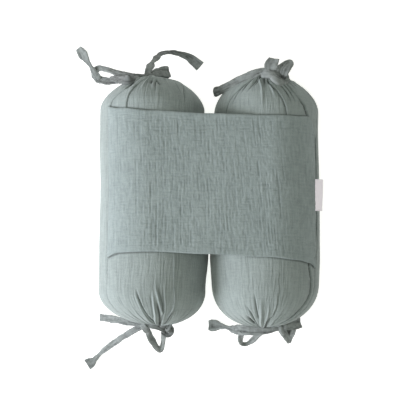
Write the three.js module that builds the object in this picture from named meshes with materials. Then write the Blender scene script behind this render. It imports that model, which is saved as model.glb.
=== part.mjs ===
// A baby positioning pillow: two filled rolls of crinkled muslin that lie side by side, a flat
// panel stitched over both of them, a folded label in one seam, and a tie at each gathered end.
// Millimetres. X runs across the rolls, Y along them and Z up from the surface they lie on.
import * as THREE from "three";
import { mergeVertices } from "three/addons/utils/BufferGeometryUtils.js";

// ---- Driving dimensions ----

const AXIS_HEIGHT = 58;         // height of each roll's axis; what would hang below z = 0 is its flat foot
const GATHER_RADIUS = 8;        // closed mouth of the cover, where the drawstring pulls it in
const ROLL_SIDES = 48;
const BODY_RINGS = 9;           // rings along the straight stretch of a roll
const DOME_RINGS = 8;           // rings along each gathered end
const PLEAT_POWER = 1.6;        // how late along the dome a pleat starts to bite

const PANEL_THICKNESS = 1.5;
const PANEL_CLEARANCE = 0.65;   // from the rolls, so that the facets still clear by 0.3
const PANEL_STEPS = 34;
const PANEL_ROWS = 8;

const LABEL_LENGTH = 37;        // along the seam
const LABEL_REACH = 12;         // how far the folded label stands out of the seam
const LABEL_LAYER = 0.6;        // thickness of one layer of the label's tape
const LABEL_GAP = 0.5;          // between its two layers
const LABEL_CENTRE_Y = 5;
const LABEL_STEPS = 20;
const LABEL_LEAN = 40;          // degrees below level at which it leaves the seam
const LABEL_SEAT = 1.2;         // its middle above the roll, where it leaves the seam
const LABEL_DROP = 0.8;         // and below the panel's edge

const TIE_WIDTH = 8;            // a tie is a flat tube of muslin
const TIE_THICKNESS = 4;
const TIE_SIDES = 8;
const TIE_STEP = 9;             // length of one straight step of a tie

const MUSLIN = { color: 0x8b9c95, roughness: 0.95, metalness: 0 };
const TIE_MUSLIN = { color: 0x84938b, roughness: 0.95, metalness: 0 };
const LABEL_TAPE = { color: 0xe4dfe3, roughness: 0.8, metalness: 0 };

// Girth of each roll: the radius and the axis position at stations along Y. `low` and `high` are its
// gathered ends: where the gather lies, how deep the dome is, how round (2 is an ellipse), and how
// far the gather sits to one side of the axis (`drift`) and above it (`lift`). A pleat is a trough
// that runs from the gather up the dome, at an angle about the axis from +X towards +Z.
const ROLLS = {
  bolster_left: {
    girth: [
      { y: -106, radius: 62.2, axis: -68.0 },
      { y: -66, radius: 64.4, axis: -65.8 },
      { y: 0, radius: 63.8, axis: -65.8 },
      { y: 108, radius: 62.8, axis: -68.6 },
    ],
    low: {
      tip: -147.5, depth: 42, power: 2.0, drift: 10, lift: 0,
      pleats: [
        { angle: 104, depth: 4.4, width: 8 },
        { angle: 124, depth: 2.0, width: 8 },
        { angle: 92, depth: 3.1, width: 8 },
        { angle: 70, depth: 3.4, width: 8 },
        { angle: 44, depth: 2.0, width: 10 },
        { angle: 158, depth: 2.4, width: 10 },
        { angle: 205, depth: 3.1, width: 10 },
        { angle: 255, depth: 2.7, width: 12 },
        { angle: 312, depth: 3.2, width: 10 },
      ],
    },
    high: {
      tip: 149, depth: 38, power: 1.65, drift: 0, lift: 8,
      pleats: [
        { angle: 145, depth: 2.7, width: 8 },
        { angle: 119, depth: 3.4, width: 8 },
        { angle: 85, depth: 3.7, width: 8 },
        { angle: 66, depth: 2.7, width: 8 },
        { angle: 38, depth: 2.4, width: 8 },
        { angle: 195, depth: 2.7, width: 10 },
        { angle: 240, depth: 3.1, width: 10 },
        { angle: 300, depth: 2.5, width: 12 },
        { angle: 345, depth: 2.2, width: 10 },
      ],
    },
  },
  bolster_right: {
    girth: [
      { y: -106, radius: 62.2, axis: 67.0 },
      { y: -66, radius: 64.8, axis: 66.5 },
      { y: 0, radius: 63.8, axis: 68.2 },
      { y: 108, radius: 62.5, axis: 69.3 },
    ],
    low: {
      tip: -149.5, depth: 57, power: 2.0, drift: 0, lift: 0,
      pleats: [
        { angle: 102, depth: 3.7, width: 8 },
        { angle: 118, depth: 3.1, width: 8 },
        { angle: 82, depth: 2.4, width: 8 },
        { angle: 67, depth: 2.7, width: 8 },
        { angle: 33, depth: 2.7, width: 8 },
        { angle: 150, depth: 2.2, width: 10 },
        { angle: 200, depth: 2.9, width: 10 },
        { angle: 262, depth: 2.7, width: 12 },
        { angle: 330, depth: 2.5, width: 10 },
      ],
    },
    high: {
      tip: 149, depth: 43, power: 1.8, drift: -4, lift: 14,
      pleats: [
        { angle: 139, depth: 3.1, width: 8 },
        { angle: 112, depth: 2.0, width: 8 },
        { angle: 84, depth: 4.1, width: 8 },
        { angle: 60, depth: 3.4, width: 8 },
        { angle: 40, depth: 3.1, width: 8 },
        { angle: 172, depth: 2.4, width: 10 },
        { angle: 215, depth: 2.9, width: 10 },
        { angle: 270, depth: 2.7, width: 12 },
        { angle: 325, depth: 2.7, width: 10 },
      ],
    },
  },
};

// Angles above level at which the panel is sewn to the rolls, on the outer side of each.
const PANEL_SEAMS = { left: 38, right: 29 };

// Cut edges of the panel at fractions of its way from the left seam to the right one. It is drawn
// in between its seams, and it lies a little askew.
const PANEL_EDGES = [
  { at: 0.0, low: -69.5, high: 108 },
  { at: 0.08, low: -65, high: 103.5 },
  { at: 0.22, low: -64.5, high: 98.5 },
  { at: 0.48, low: -67.5, high: 96 },
  { at: 0.73, low: -70.5, high: 93 },
  { at: 0.87, low: -73.5, high: 93.5 },
  { at: 0.95, low: -76.5, high: 95 },
  { at: 1.0, low: -81.5, high: 96.5 },
];

// The ties. A knot is a lump: its middle, its size, and its turn about Z in degrees. A strand is a
// flat tube along the middle points of its route, which starts at the knot or at another strand.
const KNOTS = {
  tie_top_left_knot: { at: [-84.5, 152.7, 73], size: [25, 10, 12], turn: 4 },
  tie_top_right_knot: { at: [82, 147.2, 100.2], size: [27, 12, 12], turn: -24 },
  tie_bottom_left_knot: { at: [-67, -152.5, 52], size: [17, 9, 12], turn: 0 },
  tie_bottom_right_knot: { at: [85, -153.5, 57], size: [12, 11, 12], turn: 0 },
};

const STRANDS = {
  tie_top_left_loop: [
    [-96.8, 156, 73], [-107, 160, 65], [-119, 166, 50], [-131, 172.5, 33], [-140, 175.5, 19],
    [-147, 172, 11], [-147.5, 163, 9], [-141, 156.5, 11], [-131, 153, 20], [-120, 152, 35],
    [-109, 151, 50], [-99, 150.5, 62],
  ],
  tie_top_left_tail_left: [
    [-147.2, 176.9, 11], [-151.5, 184, 4.5], [-156, 192, 2.6], [-160, 198, 2.6], [-164.5, 204.5, 2.6],
  ],
  tie_top_left_tail_right: [
    [-77.5, 159.4, 74], [-75.5, 168, 65], [-72.5, 176.5, 48], [-69, 184.5, 31], [-63.5, 192.5, 17],
    [-57, 198, 8.5], [-48, 200, 4.8], [-39, 199, 4], [-30, 195.5, 3.9], [-21, 189.5, 3.9],
    [-12, 181.5, 3.9],
  ],
  tie_top_left_ear: [[-71.5, 154, 73], [-64, 156, 71], [-56, 158, 67], [-48.5, 159, 61]],
  tie_top_right_tail: [
    [69.5, 154, 98], [61, 153.8, 97.5], [52, 152, 95], [42, 149, 91.5], [33, 144.8, 86.5],
    [25, 140.5, 80], [17, 137, 70], [9, 134.5, 58],
  ],
  tie_top_right_ear_up: [[79.5, 155.8, 104], [78, 162, 104], [76, 169, 100]],
  tie_top_right_ear_side: [[92.8, 148, 99.5], [98.5, 155, 98], [104, 161.5, 92]],
  tie_bottom_left_strap: [
    [-75.3, -150.5, 49.5], [-86, -147.5, 42], [-97, -145, 32], [-108, -142, 21], [-120, -140, 11],
    [-132, -139.5, 4],
  ],
  tie_bottom_left_tail: [
    [-74.5, -158.6, 54], [-82, -159.5, 47], [-92, -161, 34], [-103, -165.5, 20], [-113, -170.5, 10],
    [-123, -176.5, 4], [-132, -183, 2.8], [-141, -190, 2.8], [-149, -197, 2.8],
  ],
  tie_bottom_left_loop: [
    [-68, -158.5, 50], [-68, -164, 41], [-66, -171, 29], [-62, -176.5, 20], [-55, -176, 19],
    [-51.5, -169, 27], [-51.5, -162, 37], [-55.5, -157, 45],
  ],
  tie_bottom_left_ear: [[-58, -152.5, 54.5], [-50, -154, 54], [-44, -156.5, 48]],
  tie_bottom_right_band: [
    [78, -154.5, 57], [69, -154, 57], [59, -153.5, 56], [49, -153, 53], [41, -152.5, 48],
  ],
  tie_bottom_right_tail: [
    [40.4, -152.3, 47.2], [30, -150.3, 34], [19, -149, 18], [10, -148.5, 7], [1, -148, 3],
  ],
  tie_bottom_right_loop: [
    [43, -157.6, 47], [40.5, -165, 36], [44, -171, 28], [51, -171, 29], [58, -165.5, 40],
    [62, -158.8, 52.5],
  ],
  tie_bottom_right_end_low: [[87, -160, 54.5], [91, -165, 46], [95.5, -169.5, 36]],
  tie_bottom_right_ear: [[91.6, -152.2, 57], [100, -150, 54], [107.5, -147.5, 48]],
};

// ---- Shared helpers ----

const radians = (degrees) => (degrees * Math.PI) / 180;

const named = (name, geometry, finish) => {
  const mesh = new THREE.Mesh(geometry, new THREE.MeshStandardMaterial(finish));
  mesh.name = name;
  return mesh;
};

// Keeps only the positions and merges the vertices that meet, so that the mesh is one closed skin.
function closedSkin(geometry) {
  geometry.deleteAttribute("normal");
  geometry.deleteAttribute("uv");
  const skin = mergeVertices(geometry, 1e-4);
  skin.computeVertexNormals();
  return skin;
}

// Moves every vertex of a geometry to where `place` puts it.
function reshape(geometry, place) {
  const position = geometry.getAttribute("position");
  const point = new THREE.Vector3();
  for (let i = 0; i < position.count; i += 1) {
    point.fromBufferAttribute(position, i);
    const moved = place(point);
    position.setXYZ(i, moved.x, moved.y, moved.z);
  }
  return geometry;
}

// Value of one column of a table at a place along it, eased between its rows.
function lookUp(rows, key, place, column) {
  if (place <= rows[0][key]) return rows[0][column];
  const last = rows[rows.length - 1];
  if (place >= last[key]) return last[column];
  const next = rows.findIndex((row) => row[key] > place);
  const [from, to] = [rows[next - 1], rows[next]];
  const share = THREE.MathUtils.smoothstep(place, from[key], to[key]);
  return THREE.MathUtils.lerp(from[column], to[column], share);
}

// ---- Rolls ----

// How far along its dome a place is: 0 where the dome starts and 1 at the gather.
function domeShare(end, y) {
  const start = end.tip - Math.sign(end.tip) * end.depth;
  return THREE.MathUtils.clamp((y - start) / (end.tip - start), 0, 1);
}

// Radius of a roll at y, before its pleats: the girth, closed in over the dome at either end.
function rollRadius(roll, y) {
  const end = y < 0 ? roll.low : roll.high;
  const closing = Math.sqrt(1 - domeShare(end, y) ** end.power);
  return Math.max(lookUp(roll.girth, "y", y, "radius") * closing, GATHER_RADIUS);
}

// Place of a roll's axis at y, with the drift and lift of its gathers.
function rollAxis(roll, y) {
  const end = y < 0 ? roll.low : roll.high;
  const pull = domeShare(end, y) ** 2;
  const x = lookUp(roll.girth, "y", y, "axis") + end.drift * pull;
  return new THREE.Vector3(x, y, AXIS_HEIGHT + end.lift * pull);
}

// Depth of the pleats of one end at an angle about the axis.
function pleatDepth(end, y, angle) {
  const bite = domeShare(end, y) ** PLEAT_POWER;
  const troughs = end.pleats.map((pleat) => {
    const turn = THREE.MathUtils.euclideanModulo(angle - pleat.angle + 180, 360) - 180;
    return pleat.depth * Math.exp(-((turn / pleat.width) ** 2));
  });
  return bite * troughs.reduce((sum, trough) => sum + trough, 0);
}

// Profile of a roll, from the middle of one gather to the middle of the other.
function rollProfile(roll) {
  const { low, high } = roll;
  const stations = [];
  for (let i = 0; i < DOME_RINGS; i += 1) {
    stations.push(low.tip + low.depth * (1 - Math.cos((Math.PI / 2) * (i / DOME_RINGS))));
  }
  const [start, finish] = [low.tip + low.depth, high.tip - high.depth];
  for (let i = 0; i <= BODY_RINGS; i += 1) {
    stations.push(THREE.MathUtils.lerp(start, finish, i / BODY_RINGS));
  }
  for (let i = DOME_RINGS - 1; i >= 0; i -= 1) {
    stations.push(high.tip - high.depth * (1 - Math.cos((Math.PI / 2) * (i / DOME_RINGS))));
  }
  const rim = stations.map((y) => new THREE.Vector2(rollRadius(roll, y), y));
  return [new THREE.Vector2(0, low.tip), ...rim, new THREE.Vector2(0, high.tip)];
}

function rollMesh(name, roll) {
  const turned = new THREE.LatheGeometry(rollProfile(roll), ROLL_SIDES);
  reshape(turned, (point) => {
    const radius = Math.hypot(point.x, point.z);
    const place = rollAxis(roll, point.y);
    if (radius < 1e-6) return place;
    const angle = Math.atan2(point.z, point.x);
    const end = point.y < 0 ? roll.low : roll.high;
    const pleated = radius - pleatDepth(end, point.y, THREE.MathUtils.radToDeg(angle));
    place.x += pleated * Math.cos(angle);
    place.z = Math.max(place.z + pleated * Math.sin(angle), 0);
    return place;
  });
  return named(name, closedSkin(turned), MUSLIN);
}

// ---- Panel ----

// A sheet is a box of unit size, whose X and Y run over the cloth and whose Z is its thickness.
function sheetGeometry(steps, rows, place) {
  const box = new THREE.BoxGeometry(1, 1, 1, steps, rows, 1);
  return closedSkin(reshape(box, (p) => place(p.x + 0.5, p.y + 0.5, p.z + 0.5)));
}

// Place and outward direction at a fraction of the panel's way over the rolls: up the left roll,
// straight across the valley, and down the right roll.
function panelPath(share, y) {
  const [left, right] = [ROLLS.bolster_left, ROLLS.bolster_right];
  const [leftRadius, rightRadius] = [rollRadius(left, y), rollRadius(right, y)];
  const [leftX, rightX] = [rollAxis(left, y).x, rollAxis(right, y).x];
  const leftArc = radians(90 - PANEL_SEAMS.left);
  const rightArc = radians(90 - PANEL_SEAMS.right);
  const span = rightX - leftX;
  const length = leftArc * leftRadius + span + rightArc * rightRadius;
  const travelled = share * length;
  if (travelled < leftArc * leftRadius) {
    const turn = leftArc - travelled / leftRadius;
    return { x: leftX, z: AXIS_HEIGHT, radius: leftRadius, outward: Math.PI / 2 + turn };
  }
  if (travelled > leftArc * leftRadius + span) {
    const turn = (travelled - leftArc * leftRadius - span) / rightRadius;
    return { x: rightX, z: AXIS_HEIGHT, radius: rightRadius, outward: Math.PI / 2 - turn };
  }
  const along = (travelled - leftArc * leftRadius) / span;
  return {
    x: leftX + along * span,
    z: AXIS_HEIGHT,
    radius: THREE.MathUtils.lerp(leftRadius, rightRadius, along),
    outward: Math.PI / 2,
  };
}

function panelMesh() {
  const geometry = sheetGeometry(PANEL_STEPS, PANEL_ROWS, (share, across, depth) => {
    const low = lookUp(PANEL_EDGES, "at", share, "low");
    const high = lookUp(PANEL_EDGES, "at", share, "high");
    const y = THREE.MathUtils.lerp(low, high, across);
    const { x, z, radius, outward } = panelPath(share, y);
    const reach = radius + PANEL_CLEARANCE + depth * PANEL_THICKNESS;
    return new THREE.Vector3(x + reach * Math.cos(outward), y, z + reach * Math.sin(outward));
  });
  return named("panel", geometry, MUSLIN);
}

// ---- Label ----

// One strip of tape: out from the seam, round its fold, and back to the seam.
function labelMesh() {
  const fold = (LABEL_GAP + LABEL_LAYER) / 2;
  const straight = LABEL_REACH - fold;
  const length = 2 * straight + Math.PI * fold;
  const root = panelPath(1, LABEL_CENTRE_Y);
  const along = new THREE.Vector2(Math.cos(radians(LABEL_LEAN)), -Math.sin(radians(LABEL_LEAN)));
  const aside = new THREE.Vector2(-along.y, along.x);
  const outward = new THREE.Vector2(Math.cos(root.outward), Math.sin(root.outward));
  const down = new THREE.Vector2(outward.y, -outward.x);
  const start = new THREE.Vector2(root.x, root.z)
    .addScaledVector(outward, root.radius + LABEL_SEAT)
    .addScaledVector(down, LABEL_DROP);
  const geometry = sheetGeometry(LABEL_STEPS, 1, (share, across, depth) => {
    const travelled = share * length;
    const offset = (depth - 0.5) * LABEL_LAYER;
    const y = LABEL_CENTRE_Y + (across - 0.5) * LABEL_LENGTH;
    let out = travelled;
    let side = fold + offset;
    if (travelled > straight + Math.PI * fold) {
      out = length - travelled;
      side = -fold - offset;
    } else if (travelled > straight) {
      const turn = (travelled - straight) / fold;
      out = straight + (fold + offset) * Math.sin(turn);
      side = (fold + offset) * Math.cos(turn);
    }
    const flat = start.clone().addScaledVector(along, out).addScaledVector(aside, side);
    return new THREE.Vector3(flat.x, y, flat.y);
  });
  return named("label", geometry, LABEL_TAPE);
}

// ---- Ties ----

// An oval section with its flat side up, whichever way the tie's path frames it.
function tieSection(firstStep) {
  const lies = Math.abs(firstStep.z) <= Math.min(Math.abs(firstStep.x), Math.abs(firstStep.y));
  const [a, b] = lies ? [TIE_THICKNESS, TIE_WIDTH] : [TIE_WIDTH, TIE_THICKNESS];
  const corners = [];
  for (let i = 0; i < TIE_SIDES; i += 1) {
    const turn = (2 * Math.PI * (i + 0.5)) / TIE_SIDES;
    corners.push(new THREE.Vector2((a / 2) * Math.cos(turn), (b / 2) * Math.sin(turn)));
  }
  return new THREE.Shape(corners);
}

function strandMesh(name, route) {
  const path = new THREE.CatmullRomCurve3(route.map((point) => new THREE.Vector3(...point)));
  const steps = Math.max(3, Math.ceil(path.getLength() / TIE_STEP));
  const section = tieSection(path.getTangent(0));
  const tube = new THREE.ExtrudeGeometry(section, { steps, extrudePath: path });
  return named(name, closedSkin(tube), TIE_MUSLIN);
}

function knotMesh(name, { at, size, turn }) {
  const lump = new THREE.SphereGeometry(0.5, 12, 8);
  lump.scale(...size);
  const mesh = named(name, closedSkin(lump), TIE_MUSLIN);
  mesh.position.set(...at);
  mesh.rotation.z = radians(turn);
  return mesh;
}

// ---- The pillow ----

const pillow = new THREE.Group();
for (const [name, roll] of Object.entries(ROLLS)) pillow.add(rollMesh(name, roll));
pillow.add(panelMesh());
pillow.add(labelMesh());
for (const [name, knot] of Object.entries(KNOTS)) pillow.add(knotMesh(name, knot));
for (const [name, route] of Object.entries(STRANDS)) pillow.add(strandMesh(name, route));

export default pillow;
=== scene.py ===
"""A baby positioning pillow, dressed for Blender.

Two filled muslin rolls lie side by side. A crinkled panel is sewn into the outer seam of each and
stretched over both, and each roll is drawn closed at its ends by ties of the same cloth.

Sizes are in millimetres, as a maker writes them, and become metres where a mesh is laid in place.
X runs across the rolls, Y along them and Z up from the surface that they lie on. Angles round a
roll are in degrees, from +X towards +Z, so 90 is its crown.
"""

from __future__ import annotations

import logging
import math
from collections.abc import Callable
from dataclasses import dataclass
from enum import Enum

import bmesh
import bpy
import numpy as np
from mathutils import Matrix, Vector


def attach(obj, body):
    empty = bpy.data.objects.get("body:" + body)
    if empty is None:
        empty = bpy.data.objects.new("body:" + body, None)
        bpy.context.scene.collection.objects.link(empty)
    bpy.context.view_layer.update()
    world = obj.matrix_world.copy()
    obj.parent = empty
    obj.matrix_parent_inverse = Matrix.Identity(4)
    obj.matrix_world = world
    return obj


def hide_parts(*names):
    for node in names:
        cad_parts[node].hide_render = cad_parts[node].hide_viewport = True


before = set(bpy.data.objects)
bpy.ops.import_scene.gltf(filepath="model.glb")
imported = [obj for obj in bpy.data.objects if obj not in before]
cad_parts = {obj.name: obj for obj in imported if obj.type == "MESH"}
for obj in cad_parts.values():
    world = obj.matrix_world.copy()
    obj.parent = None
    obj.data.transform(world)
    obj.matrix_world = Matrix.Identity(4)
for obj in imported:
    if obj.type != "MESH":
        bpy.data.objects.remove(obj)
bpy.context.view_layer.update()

LOG = logging.getLogger("pillow")

MM = 0.001
AXIS_HEIGHT = 58.0
CLOTH_RADIUS = 64.0

Rows = tuple[tuple[float, ...], ...]
Colour = tuple[float, float, float]


# ---- Shaping helpers ----


def ease(low: float | np.ndarray, high: float, value: np.ndarray) -> np.ndarray:
    """Goes smoothly from 0 at low to 1 at high.

    Args:
        low: Where the change starts.
        high: Where it ends.
        value: The places to look at.

    Returns:
        The share at each place.
    """
    share = np.clip((value - low) / (high - low), 0.0, 1.0)
    return share * share * (3.0 - 2.0 * share)


def look_up(rows: Rows, place: np.ndarray, column: int) -> np.ndarray:
    """Reads a column of a table whose first column is the place, eased between its rows.

    Args:
        rows: The table, in rising order of its first column.
        place: The places to look at.
        column: Which column to read.

    Returns:
        The column's value at each place.
    """
    table = np.array(rows, float)
    last = len(table) - 2
    index = np.clip(np.searchsorted(table[:, 0], place, side="right") - 1, 0, last)
    start, end = table[index], table[index + 1]
    share = np.clip((place - start[..., 0]) / (end[..., 0] - start[..., 0]), 0.0, 1.0)
    share = share * share * (3.0 - 2.0 * share)
    return start[..., column] * (1.0 - share) + end[..., column] * share


def curve_through(points: np.ndarray, per_span: int = 24) -> np.ndarray:
    """Draws a smooth curve through given points, close enough together to measure.

    Args:
        points: The points, one a row.
        per_span: How many steps to take between two of them.

    Returns:
        The curve's points, one a row.
    """
    ends = np.vstack([2 * points[0] - points[1], points, 2 * points[-1] - points[-2]])
    spans = []
    for before, start, stop, after in zip(ends, ends[1:], ends[2:], ends[3:]):
        share = np.linspace(0.0, 1.0, per_span, endpoint=False)[:, None]
        bend = 2 * before - 5 * start + 4 * stop - after
        twist = 3 * start - before - 3 * stop + after
        spans.append(start + 0.5 * share * (stop - before + share * (bend + share * twist)))
    return np.vstack([*spans, points[-1:]])


def evenly(curve: np.ndarray, shares: np.ndarray) -> np.ndarray:
    """Picks points at shares of a curve's length.

    Args:
        curve: The curve's points, one a row.
        shares: How far along to pick, from 0 to 1.

    Returns:
        The picked points, one a row.
    """
    steps = np.linalg.norm(np.diff(curve, axis=0), axis=1)
    along = np.concatenate([[0.0], np.cumsum(steps)])
    columns = [np.interp(shares * along[-1], along, column) for column in curve.T]
    return np.stack(columns, axis=1)


def length_of(curve: np.ndarray) -> float:
    """Measures a curve from its points."""
    return float(np.linalg.norm(np.diff(curve, axis=0), axis=1).sum())


def outward_of(place: np.ndarray, inside: np.ndarray) -> np.ndarray:
    """Finds the direction out of a surface laid on a grid.

    Args:
        place: The surface's points, as rows by columns by 3.
        inside: A point inside the surface for each row, as rows by 1 by 3.

    Returns:
        Unit directions, in the same layout as place.
    """
    along = np.gradient(place, axis=0)
    wrapped = np.concatenate([place[:, -1:], place, place[:, :1]], axis=1)
    across = (wrapped[:, 2:] - wrapped[:, :-2]) / 2
    out = np.cross(along, across)
    out /= np.maximum(np.linalg.norm(out, axis=2, keepdims=True), 1e-9)
    facing = np.sign((out * (place - inside)).sum(axis=2, keepdims=True))
    return out * np.where(facing == 0, 1.0, facing)


@dataclass(frozen=True)
class ClothNoise:
    """Smooth, seeded unevenness of a cloth, longer one way than the other.

    Attributes:
        seed: Which unevenness.
        wave_u: Its size across the cloth.
        wave_v: Its size along the cloth.
        period: The width after which it repeats across, or 0 for cloth that isn't a tube.
    """

    seed: int
    wave_u: float
    wave_v: float
    period: float = 0.0

    def at(self, u: np.ndarray, v: np.ndarray) -> np.ndarray:
        """Reads the unevenness.

        Args:
            u: Places across the cloth.
            v: Places along it.

        Returns:
            Values from about -1 to 1.
        """
        dice = np.random.default_rng(self.seed)
        knots = dice.uniform(-1.0, 1.0, (512, 512))
        stagger = dice.uniform(0.0, 64.0, 512)
        cells = max(1, round(self.period / self.wave_u)) if self.period else 512
        wave_u = self.period / cells if self.period else self.wave_u
        cell = np.floor(u / wave_u)
        share = u / wave_u - cell
        share = share * share * (3.0 - 2.0 * share)
        sides = []
        for step in (0, 1):
            column = (cell.astype(int) + step) % cells
            row = v / self.wave_v + stagger[column]
            low = np.floor(row)
            rise = row - low
            rise = rise * rise * (3.0 - 2.0 * rise)
            start = low.astype(int)
            before, after = knots[column, start % 512], knots[column, (start + 1) % 512]
            sides.append(before * (1.0 - rise) + after * rise)
        return sides[0] * (1.0 - share) + sides[1] * share


@dataclass(frozen=True)
class Crinkle:
    """The crinkle of double gauze: fine broken creases that run side by side.

    Attributes:
        seed: Which crinkle.
        spacing: Usual distance from crease to crease.
        reach: Usual length of a crease.
        width: Half the width of a crease.
        wander: How far a crease strays sideways.
        lean: Sideways drift for each millimetre along.
        period: The width after which it repeats across, or 0.
        cover: Share of each crease's line that is creased.
    """

    seed: int
    spacing: float
    reach: float
    width: float = 0.7
    wander: float = 1.0
    lean: float = 0.0
    period: float = 0.0
    cover: float = 0.6

    def read(self, u: np.ndarray, v: np.ndarray) -> tuple[np.ndarray, np.ndarray]:
        """Reads the crinkle at places across and along the cloth.

        Args:
            u: Places across the cloth.
            v: Places along it.

        Returns:
            The height for a crease 1 deep, and how far each place is into a crease.
        """
        dice = np.random.default_rng(self.seed)
        count = max(1, round(self.period / self.spacing)) if self.period else 2048
        pitch = self.period / count if self.period else self.spacing
        off_line = dice.uniform(-0.34, 0.34, count)
        breadth = dice.uniform(0.75, 1.35, count)
        loud = dice.uniform(0.55, 1.0, count)
        phase = (u + self.lean * v) / pitch
        nearest = np.floor(phase).astype(int)
        height, inside = np.zeros_like(phase), np.zeros_like(phase)
        for step in (-1, 0, 1):
            line = (nearest + step) % count
            stray = self._along_line(self.seed + 1, line, v / (self.reach * 0.7))
            here = self._along_line(self.seed + 2, line, v / self.reach)
            share = loud[line] * ease(1.0 - 2.0 * self.cover, 1.7 - 2.0 * self.cover, here)
            away = (phase - nearest - step - 0.5 - off_line[line]) * pitch - self.wander * stray
            away = away / (self.width * breadth[line])
            trough = share * np.exp(-(away**2))
            height += 0.45 * share * np.exp(-((away - 1.9) ** 2)) - trough
            inside = np.maximum(inside, trough)
        return height, inside

    @staticmethod
    def _along_line(seed: int, line: np.ndarray, place: np.ndarray) -> np.ndarray:
        """Gives each crease its own smooth unevenness along its length, from -1 to 1."""
        dice = np.random.default_rng(seed)
        knots = dice.uniform(-1.0, 1.0, (4099,))
        start = dice.integers(0, 4099, 2048)
        low = np.floor(place)
        share = place - low
        share = share * share * (3.0 - 2.0 * share)
        index = start[line % 2048] + low.astype(int)
        return knots[index % 4099] * (1.0 - share) + knots[(index + 1) % 4099] * share


# ---- Making pieces ----


def lathe_blank(rings: int, spokes: int) -> bmesh.types.BMesh:
    """Spins a closed drum of unit size round Y, with a pole at y = 0 and one at y = 1.

    Args:
        rings: How many rings lie between the poles.
        spokes: How many vertices a ring has.

    Returns:
        The drum.
    """
    blank = bmesh.new()
    last = rings + 1
    chain = [blank.verts.new((0.0, 0.0, 0.0))]
    chain += [blank.verts.new((0.0, ring / last, -1.0)) for ring in range(1, last)]
    chain.append(blank.verts.new((0.0, 1.0, 0.0)))
    edges = [blank.edges.new(pair) for pair in zip(chain, chain[1:])]
    bmesh.ops.spin(
        blank,
        geom=chain + edges,
        cent=(0.0, 0.0, 0.0),
        axis=(0.0, 1.0, 0.0),
        dvec=(0.0, 0.0, 0.0),
        angle=2 * math.pi,
        steps=spokes,
        use_merge=True,
    )
    bmesh.ops.remove_doubles(blank, verts=blank.verts, dist=1e-5)
    bmesh.ops.recalc_face_normals(blank, faces=blank.faces)
    return blank


def sheet_blank(steps: int, rows: int) -> bmesh.types.BMesh:
    """Cuts a flat slab of unit size: X runs across the cloth, Y along it and Z through it."""
    blank = bmesh.new()
    bmesh.ops.create_grid(blank, x_segments=steps, y_segments=rows, size=0.5)
    bmesh.ops.translate(blank, verts=blank.verts, vec=(0.5, 0.5, 1.0))
    under = bmesh.ops.extrude_face_region(blank, geom=blank.faces[:], use_keep_orig=True)
    lower = [item for item in under["geom"] if isinstance(item, bmesh.types.BMVert)]
    bmesh.ops.translate(blank, verts=lower, vec=(0.0, 0.0, -1.0))
    bmesh.ops.recalc_face_normals(blank, faces=blank.faces)
    return blank


class TieEnd(Enum):
    """How a strand of a tie ends."""

    OPEN = "open"
    TUCKED = "tucked"


def ribbon_blank(rings: int, sides: int, ends: tuple[TieEnd, TieEnd]) -> bmesh.types.BMesh:
    """Makes a closed straight tube of unit radius, from z = 0 to z = 1.

    Args:
        rings: How many steps it has along its length.
        sides: How many sides it has.
        ends: How it starts and how it finishes; an open end is hollowed.

    Returns:
        The tube.
    """
    blank = bmesh.new()
    bmesh.ops.create_circle(blank, cap_ends=False, radius=1.0, segments=sides)
    bmesh.ops.spin(
        blank,
        geom=blank.verts[:] + blank.edges[:],
        cent=(0.0, 0.0, 0.0),
        axis=(0.0, 0.0, 1.0),
        dvec=(0.0, 0.0, 1.0 / rings),
        angle=0.0,
        steps=rings,
    )
    rims = [edge for edge in blank.edges if edge.is_boundary]
    bmesh.ops.holes_fill(blank, edges=rims, sides=0)
    for end, level in zip(ends, (0.0, 1.0)):
        caps = [f for f in blank.faces if all(abs(v.co.z - level) < 1e-4 for v in f.verts)]
        bmesh.ops.inset_region(blank, faces=caps, thickness=0.3, use_even_offset=False)
        if end is TieEnd.OPEN:
            caps = [f for f in caps if f.is_valid]
            hollow = bmesh.ops.extrude_face_region(blank, geom=caps)
            moved = [item for item in hollow["geom"] if isinstance(item, bmesh.types.BMVert)]
            bmesh.ops.translate(blank, verts=moved, vec=(0.0, 0.0, 0.04 if level == 0.0 else -0.04))
            bmesh.ops.delete(blank, geom=[f for f in caps if f.is_valid], context="FACES_ONLY")
    bmesh.ops.triangulate(blank, faces=[f for f in blank.faces if len(f.verts) > 4])
    bmesh.ops.recalc_face_normals(blank, faces=blank.faces)
    return blank


@dataclass(frozen=True)
class Laid:
    """Where a blank's vertices go, and where they lay on the flat cloth.

    Attributes:
        place: Points in millimetres, one a row.
        rest: The same points on the flat cloth, in millimetres, one a row.
        crease: How much painted shade darkens each point, from 0 to 1: shade painted into creases, seams and folds, and
            shadow painted beside the panel's edges.
        thread: Place across and along the weave, in millimetres, as rows of 3.
    """

    place: np.ndarray
    rest: np.ndarray
    crease: np.ndarray
    thread: np.ndarray


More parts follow.
